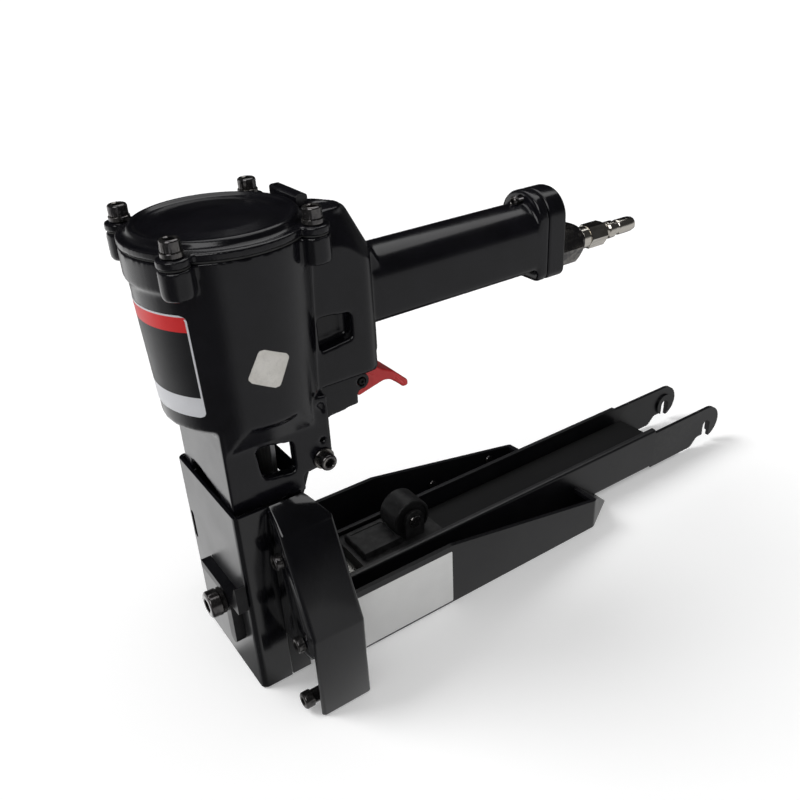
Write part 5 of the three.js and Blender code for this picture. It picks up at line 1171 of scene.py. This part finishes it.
def buildPusher(size):
    step, grip, ear = size["stepHalf"], size["gripHalf"], size["ear"]
    saddle = extruded("pusher_saddle", rounded(size["section"], 0.3, 4), "x", size["frontX"], size["backX"])
    welded(saddle, extruded("step", rounded(size["step"], 1, 4), "y", -step, step))
    room = drum["half"] + size["drumRoom"]
    for sy in (-1, 1):
        low, high = sided(room, size["earY"], sy)
        welded(saddle, block("ear", (drum["x"] - ear, drum["x"] + ear), (low, high), (size["earLowZ"], drum["z"])),
               rod("ear_top", "y", ear, low, high, drumCentre, 48))
    carved(saddle, rod("pocket", "y", drum["radius"] + size["drumRoom"], -room, room, drumCentre, 64),
           rod("way", "y", size["axleWay"], -14, 14, drumCentre, 32))
    carved(saddle, block("grip_field", size["gripX"], (-grip, grip), (size["gripZ"], 36)))
    softEdges(saddle, 0.4, 2, 40)
    return finished(saddle, mouldedPlastic, "pusher_carriage", "moulded_black", "pusher")


def buildDrum(size):
    x, z, half, radius, hub = size["x"], size["z"], size["half"], size["radius"], size["hub"]
    rim, web, soft = radius - size["rim"], half - size["web"], size["soft"]
    profile = [(size["bore"], -half), (hub, -half), (hub, -web), (rim, -web), (rim, -half), (radius - soft, -half),
               (radius, -half + soft), (radius, half - soft), (radius - soft, half), (rim, half), (rim, web),
               (hub, web), (hub, half), (size["bore"], half)]
    wheel = turned("coil_wheel", profile, "y", drumCentre, 72, closed=True)
    for sy in (-1, 1):
        notch = [(x - 1.9, z - 11), (x, z - 4.6), (x + 1.9, z - 11)]
        carved(wheel, extruded("notch", notch, "y", *sided(6.2, 9, sy)))
    smoothByAngle(wheel)
    return finished(wheel, mouldedPlastic, "coil_drum", "moulded_black", "spring_drum")


def buildAxle():
    # a plain pin with a low head at each end
    end = [(2.2, 10.8), (4, 10.8), (4, 11.3), (3.7, 11.7), (2.8, 12), (0, 12)]
    profile = [(radius, -reach) for radius, reach in end[::-1]] + end
    pin = turned("wheel_axle", profile, "y", drumCentre, 32)
    smoothByAngle(pin)
    return finished(pin, screwFinish, "pusher_carriage", "screw_black", "drum_axle")


buildPusher(pusher)
buildDrum(drum)
buildAxle()
print("pusher ready")


# Dressed copies of CAD parts: the same shape with softened edges, or only shaded smooth where the width is 0
def dressedCopy(node, name, width, finish, body, slot):
    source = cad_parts[node]
    take(source)
    bpy.ops.object.duplicate()
    made = bpy.context.active_object
    made.name = name
    made.modifiers.clear()
    outwards(made, 2e-6)
    edit(made)
    bpy.ops.mesh.select_all(action="SELECT")
    bpy.ops.mesh.dissolve_limited(angle_limit=math.radians(1))
    bpy.ops.object.mode_set(mode="OBJECT")
    if width:
        softEdges(made, width, 2, 35)
    else:
        smoothByAngle(made, 80)
    return finished(made, finish, body, slot, node)


# Labels: thin sheets on the cylinder and on the tray's wall, all of them bare
cylinderLabel = {"halfAngle": 43.5, "facing": 180, "lowZ": 158.5, "highZ": 207, "redLowZ": 199.5, "whiteHighZ": 168,
                 "measureZ": 183, "corner": 3, "lift": 0.22, "columns": 72, "rows": 64}
sticker = {"facing": -90.3, "half": 7.9, "middleZ": 178.4, "tilt": -27, "corner": 2.2, "lift": 0.2, "columns": 16,
           "rows": 16}
trayLabel = {"outline": [(24.6, 1.2), (90.4, 1.2), (90.4, 36.8), (24.6, 36.8)], "corner": 0.8, "y": (-42.2, -41.95)}


def wrappedSheet(name, size, half, low, high, tilt=0):
    # a grid laid on the tapered cylinder, its corners rounded, its front turned outwards
    clearSelection()
    bpy.ops.mesh.primitive_grid_add(x_subdivisions=size["columns"], y_subdivisions=size["rows"], size=2)
    sheet = bpy.context.active_object
    sheet.name = name
    midZ, tall, corner = (low + high) / 2, (high - low) / 2, size["corner"]
    for point in sheet.data.vertices:
        v = point.co.y * tall
        inset = max(abs(v) - (tall - corner), 0)
        wide = half - corner + math.sqrt(max(corner ** 2 - inset ** 2, 0))
        u = point.co.x * wide
        turnU = u * math.cos(tilt) - v * math.sin(tilt)
        turnV = u * math.sin(tilt) + v * math.cos(tilt)
        z = midZ + turnV
        radius = barrelRadius(z) + size["lift"]
        angle = math.radians(size["facing"]) + turnU / barrelRadius(midZ)
        point.co = spot(radius * math.cos(angle), radius * math.sin(angle), z)
    edit(sheet)
    bpy.ops.mesh.select_all(action="SELECT")
    bpy.ops.mesh.normals_make_consistent(inside=False)
    bpy.ops.object.mode_set(mode="OBJECT")
    first = sheet.data.polygons[0]
    away = first.center - spot(0, 0, first.center.z / mm)
    if first.normal.dot(away) < 0:
        sheet.data.flip_normals()
    return sheet


def thickened(sheet, thickness):
    take(sheet)
    bpy.ops.object.modifier_add(type="SOLIDIFY")
    layer = sheet.modifiers[-1]
    layer.thickness = thickness * mm
    layer.offset = -1
    bpy.ops.object.modifier_apply(modifier=layer.name)
    smoothByAngle(sheet, 40)
    return sheet


def buildCylinderLabel(size):
    half = math.radians(size["halfAngle"]) * barrelRadius(size["measureZ"])
    sheet = wrappedSheet("cylinder_label", size, half, size["lowZ"], size["highZ"])
    thickened(sheet, 0.5)
    finished(sheet, labelBlack, "tool_body", None)
    sheet.data.materials.append(labelRed)
    sheet.data.materials.append(labelWhite)
    for face in sheet.data.polygons:
        z = face.center.z / mm
        angle = math.degrees(math.atan2(face.center.y, face.center.x + middleX * mm))
        off = abs((angle - size["facing"] + 180) % 360 - 180)
        border = off > size["halfAngle"] - 1.1 or z > size["highZ"] - 0.8
        if z < size["whiteHighZ"] or border:
            face.material_index = 2
        elif z > size["redLowZ"]:
            face.material_index = 1
    return sheet


def buildSticker(size):
    half, middle = size["half"], size["middleZ"]
    sheet = wrappedSheet("round_cornered_sticker", size, half, middle - half, middle + half, math.radians(size["tilt"]))
    thickened(sheet, 0.5)
    return finished(sheet, stickerPaper, "tool_body", None)


def buildTrayLabel(size):
    sheet = extruded("tray_label", rounded(size["outline"], size["corner"], 4), "y", *size["y"])
    softEdges(sheet, 0.06, 1, 50)
    # the paper's colour is lightened, painted light against the wall's shade
    return finished(sheet, trayLabelPaperPaintedLight, "tool_body", None)


buildCylinderLabel(cylinderLabel)
buildSticker(sticker)
buildTrayLabel(trayLabel)
print("labels ready")


# CAD parts that stay: those inside the nose, the cylinder and the valve
backRelief = [(14.3, 80), (31, 80), (31, 113.6), (20.5, 113.6), (14.3, 97)]
dressedCopy("nose_front_block", "nose_front_casting", 0.5, castingInside, "tool_body", "sheet_black")
backCasting = dressedCopy("nose_back_plate", "nose_back_casting", 0.4, castingInside, "tool_body", "sheet_black")
carved(backCasting, extruded("relief", backRelief, "y", -26, 26))
smoothByAngle(backCasting)
# the spring, pressed together against its seat as the stem goes up, gets a mesh of its own here
springWire = dressedCopy("valve_spring", "stem_spring", 0, nickelFinish, "tool_body", "nickel")
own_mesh(springWire)
keptFinishes = {
    "cylinder_sleeve": groundSteel, "driver_blade": groundSteel, "crosshead": groundSteel, "clincher_left": groundSteel,
    "clincher_right": groundSteel, "clincher_pin_left": groundSteel, "clincher_pin_right": groundSteel,
    "trigger_valve_body": groundSteel, "valve_stem": groundSteel, "bumper": rubberFinish,
    "piston_ring": rubberFinish, "piston": turnedAlloy,
}
for node, finish in keptFinishes.items():
    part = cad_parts[node]
    if not part.material_slots:
        part.data.materials.append(finish)
    for place in part.material_slots:
        place.material = finish


# Stage: pale floor, world and lamps. What gloss sees of floor and world is a painted reflection: dimmed towards two
# sides, as by dark cards, and brightened towards a third
stage = {"floor": 60, "floorColour": 0.9, "floorGlow": 0.24, "ambient": 0.66, "gloss": 0.6, "horizon": 0.4,
         "overhead": 0.05,
         "cards": [{"towards": (-0.866, -0.5, 0), "from": 0.75, "to": 0.94, "dark": 0.8},
                   {"towards": (0.616, 0.788, 0), "from": 0.5, "to": 0.92, "dark": 0.9}],
         "bright": {"towards": (-0.545, 0.838, 0), "from": 0.8, "to": 0.97, "gain": 1.35, "centre": (40, -60, 0)}}


def joined(tree, operation, first, second):
    node = tree.nodes.new("ShaderNodeMath")
    node.operation = operation
    for socket, value in zip(node.inputs, (first, second)):
        if isinstance(value, (int, float)):
            socket.default_value = value
        else:
            tree.links.new(value, socket)
    return node.outputs[0]


def ramped(tree, source, fromLow, fromHigh, low, high):
    node = tree.nodes.new("ShaderNodeMapRange")
    node.interpolation_type = "SMOOTHSTEP"
    for socket, value in zip(("From Min", "From Max", "To Min", "To Max"), (fromLow, fromHigh, low, high)):
        node.inputs[socket].default_value = value
    tree.links.new(source, node.inputs["Value"])
    return node.outputs["Result"]


def glossLevel(tree, direction, size, around):
    # how bright gloss sees the surroundings: on the floor a direction starts at a centre, in the sky at none
    def facing(row, low, high):
        away = tree.nodes.new("ShaderNodeVectorMath")
        away.operation = "SUBTRACT"
        tree.links.new(direction, away.inputs[0])
        away.inputs[1].default_value = spot(*row.get("centre", (0, 0, 0))) if around else (0, 0, 0)
        flat = tree.nodes.new("ShaderNodeVectorMath")
        flat.operation = "MULTIPLY"
        tree.links.new(away.outputs[0], flat.inputs[0])
        flat.inputs[1].default_value = (1, 1, 0)
        unit = tree.nodes.new("ShaderNodeVectorMath")
        unit.operation = "NORMALIZE"
        tree.links.new(flat.outputs[0], unit.inputs[0])
        node = tree.nodes.new("ShaderNodeVectorMath")
        node.operation = "DOT_PRODUCT"
        tree.links.new(unit.outputs[0], node.inputs[0])
        node.inputs[1].default_value = row["towards"]
        return ramped(tree, node.outputs["Value"], row["from"], row["to"], low, high)

    level = facing(size["bright"], size["gloss"], size["bright"]["gain"])
    for card in size["cards"]:
        level = joined(tree, "MULTIPLY", level, facing(card, 1, 1 - card["dark"]))
    return level


def buildFloor(size):
    clearSelection()
    bpy.ops.mesh.primitive_plane_add(size=size["floor"], location=(0, 0, -0.0003))
    floor = bpy.context.active_object
    floor.name = "floor"
    material = bpy.data.materials.new("floor_white")
    material.use_nodes = True
    tree = material.node_tree
    nodes, links = tree.nodes, tree.links
    nodes.clear()
    out = nodes.new("ShaderNodeOutputMaterial")
    matte = nodes.new("ShaderNodeBsdfDiffuse")
    matte.inputs["Color"].default_value = (size["floorColour"],) * 3 + (1,)
    rays = nodes.new("ShaderNodeLightPath")
    seen = joined(tree, "MAXIMUM", rays.outputs["Is Camera Ray"], rays.outputs["Is Transmission Ray"])
    glow = nodes.new("ShaderNodeEmission")
    links.new(joined(tree, "MULTIPLY", seen, size["floorGlow"]), glow.inputs["Strength"])
    both = nodes.new("ShaderNodeAddShader")
    links.new(matte.outputs[0], both.inputs[0])
    links.new(glow.outputs[0], both.inputs[1])
    coords = nodes.new("ShaderNodeTexCoord")
    mirror = nodes.new("ShaderNodeEmission")
    links.new(glossLevel(tree, coords.outputs["Object"], size, True), mirror.inputs["Strength"])
    mixed = nodes.new("ShaderNodeMixShader")
    links.new(rays.outputs["Is Glossy Ray"], mixed.inputs[0])
    links.new(both.outputs[0], mixed.inputs[1])
    links.new(mirror.outputs[0], mixed.inputs[2])
    links.new(mixed.outputs[0], out.inputs["Surface"])
    floor.data.materials.append(material)


def buildWorld(size):
    world = bpy.data.worlds.new("studio")
    bpy.context.scene.world = world
    world.use_nodes = True
    tree = world.node_tree
    nodes, links = tree.nodes, tree.links
    nodes.clear()
    out = nodes.new("ShaderNodeOutputWorld")
    rays = nodes.new("ShaderNodeLightPath")
    coords = nodes.new("ShaderNodeTexCoord")
    parts = nodes.new("ShaderNodeSeparateXYZ")
    links.new(coords.outputs["Generated"], parts.inputs[0])
    height = ramped(tree, parts.outputs["Z"], 0, 0.2, size["horizon"] / size["gloss"], size["overhead"] / size["gloss"])
    level = joined(tree, "MULTIPLY", height, glossLevel(tree, coords.outputs["Generated"], size, False))
    ambient = nodes.new("ShaderNodeBackground")
    ambient.inputs["Strength"].default_value = size["ambient"]
    mirror = nodes.new("ShaderNodeBackground")
    links.new(level, mirror.inputs["Strength"])
    plain = nodes.new("ShaderNodeBackground")
    plain.inputs["Color"].default_value = (1, 1, 1, 1)
    plain.inputs["Strength"].default_value = 1
    mixGlossy = nodes.new("ShaderNodeMixShader")
    links.new(rays.outputs["Is Glossy Ray"], mixGlossy.inputs[0])
    links.new(ambient.outputs[0], mixGlossy.inputs[1])
    links.new(mirror.outputs[0], mixGlossy.inputs[2])
    seen = joined(tree, "MAXIMUM", rays.outputs["Is Camera Ray"], rays.outputs["Is Transmission Ray"])
    mixSeen = nodes.new("ShaderNodeMixShader")
    links.new(seen, mixSeen.inputs[0])
    links.new(mixGlossy.outputs[0], mixSeen.inputs[1])
    links.new(plain.outputs[0], mixSeen.inputs[2])
    links.new(mixSeen.outputs[0], out.inputs["Surface"])


# two soft boxes that only gloss sees, and a wide sun that makes the soft shadows
lamps = [
    {"name": "key", "kind": "AREA", "place": (-0.9, -0.6, 1.1), "size": 0.9, "power": 9},
    {"name": "top", "kind": "AREA", "place": (0.25, 0.2, 1.3), "size": 1.2, "power": 9},
    {"name": "sun", "kind": "SUN", "place": (-0.7, 0.6, 1.1), "size": 30, "power": 1.7},
]


def buildLamps(rows):
    for row in rows:
        clearSelection()
        bpy.ops.object.light_add(type=row["kind"], location=row["place"])
        lamp = bpy.context.active_object
        lamp.name = "lamp_" + row["name"]
        lamp.data.energy = row["power"]
        if row["kind"] == "AREA":
            lamp.data.size = row["size"]
            lamp.visible_diffuse = False
        else:
            lamp.data.angle = math.radians(row["size"])
            lamp.visible_glossy = False
        aim = Vector((0, 0, 0.12)) - Vector(row["place"])
        lamp.rotation_euler = aim.to_track_quat("-Z", "Y").to_euler()


buildFloor(stage)
buildWorld(stage)
buildLamps(lamps)
bpy.context.scene.view_settings.view_transform = "Standard"
print("stage ready")
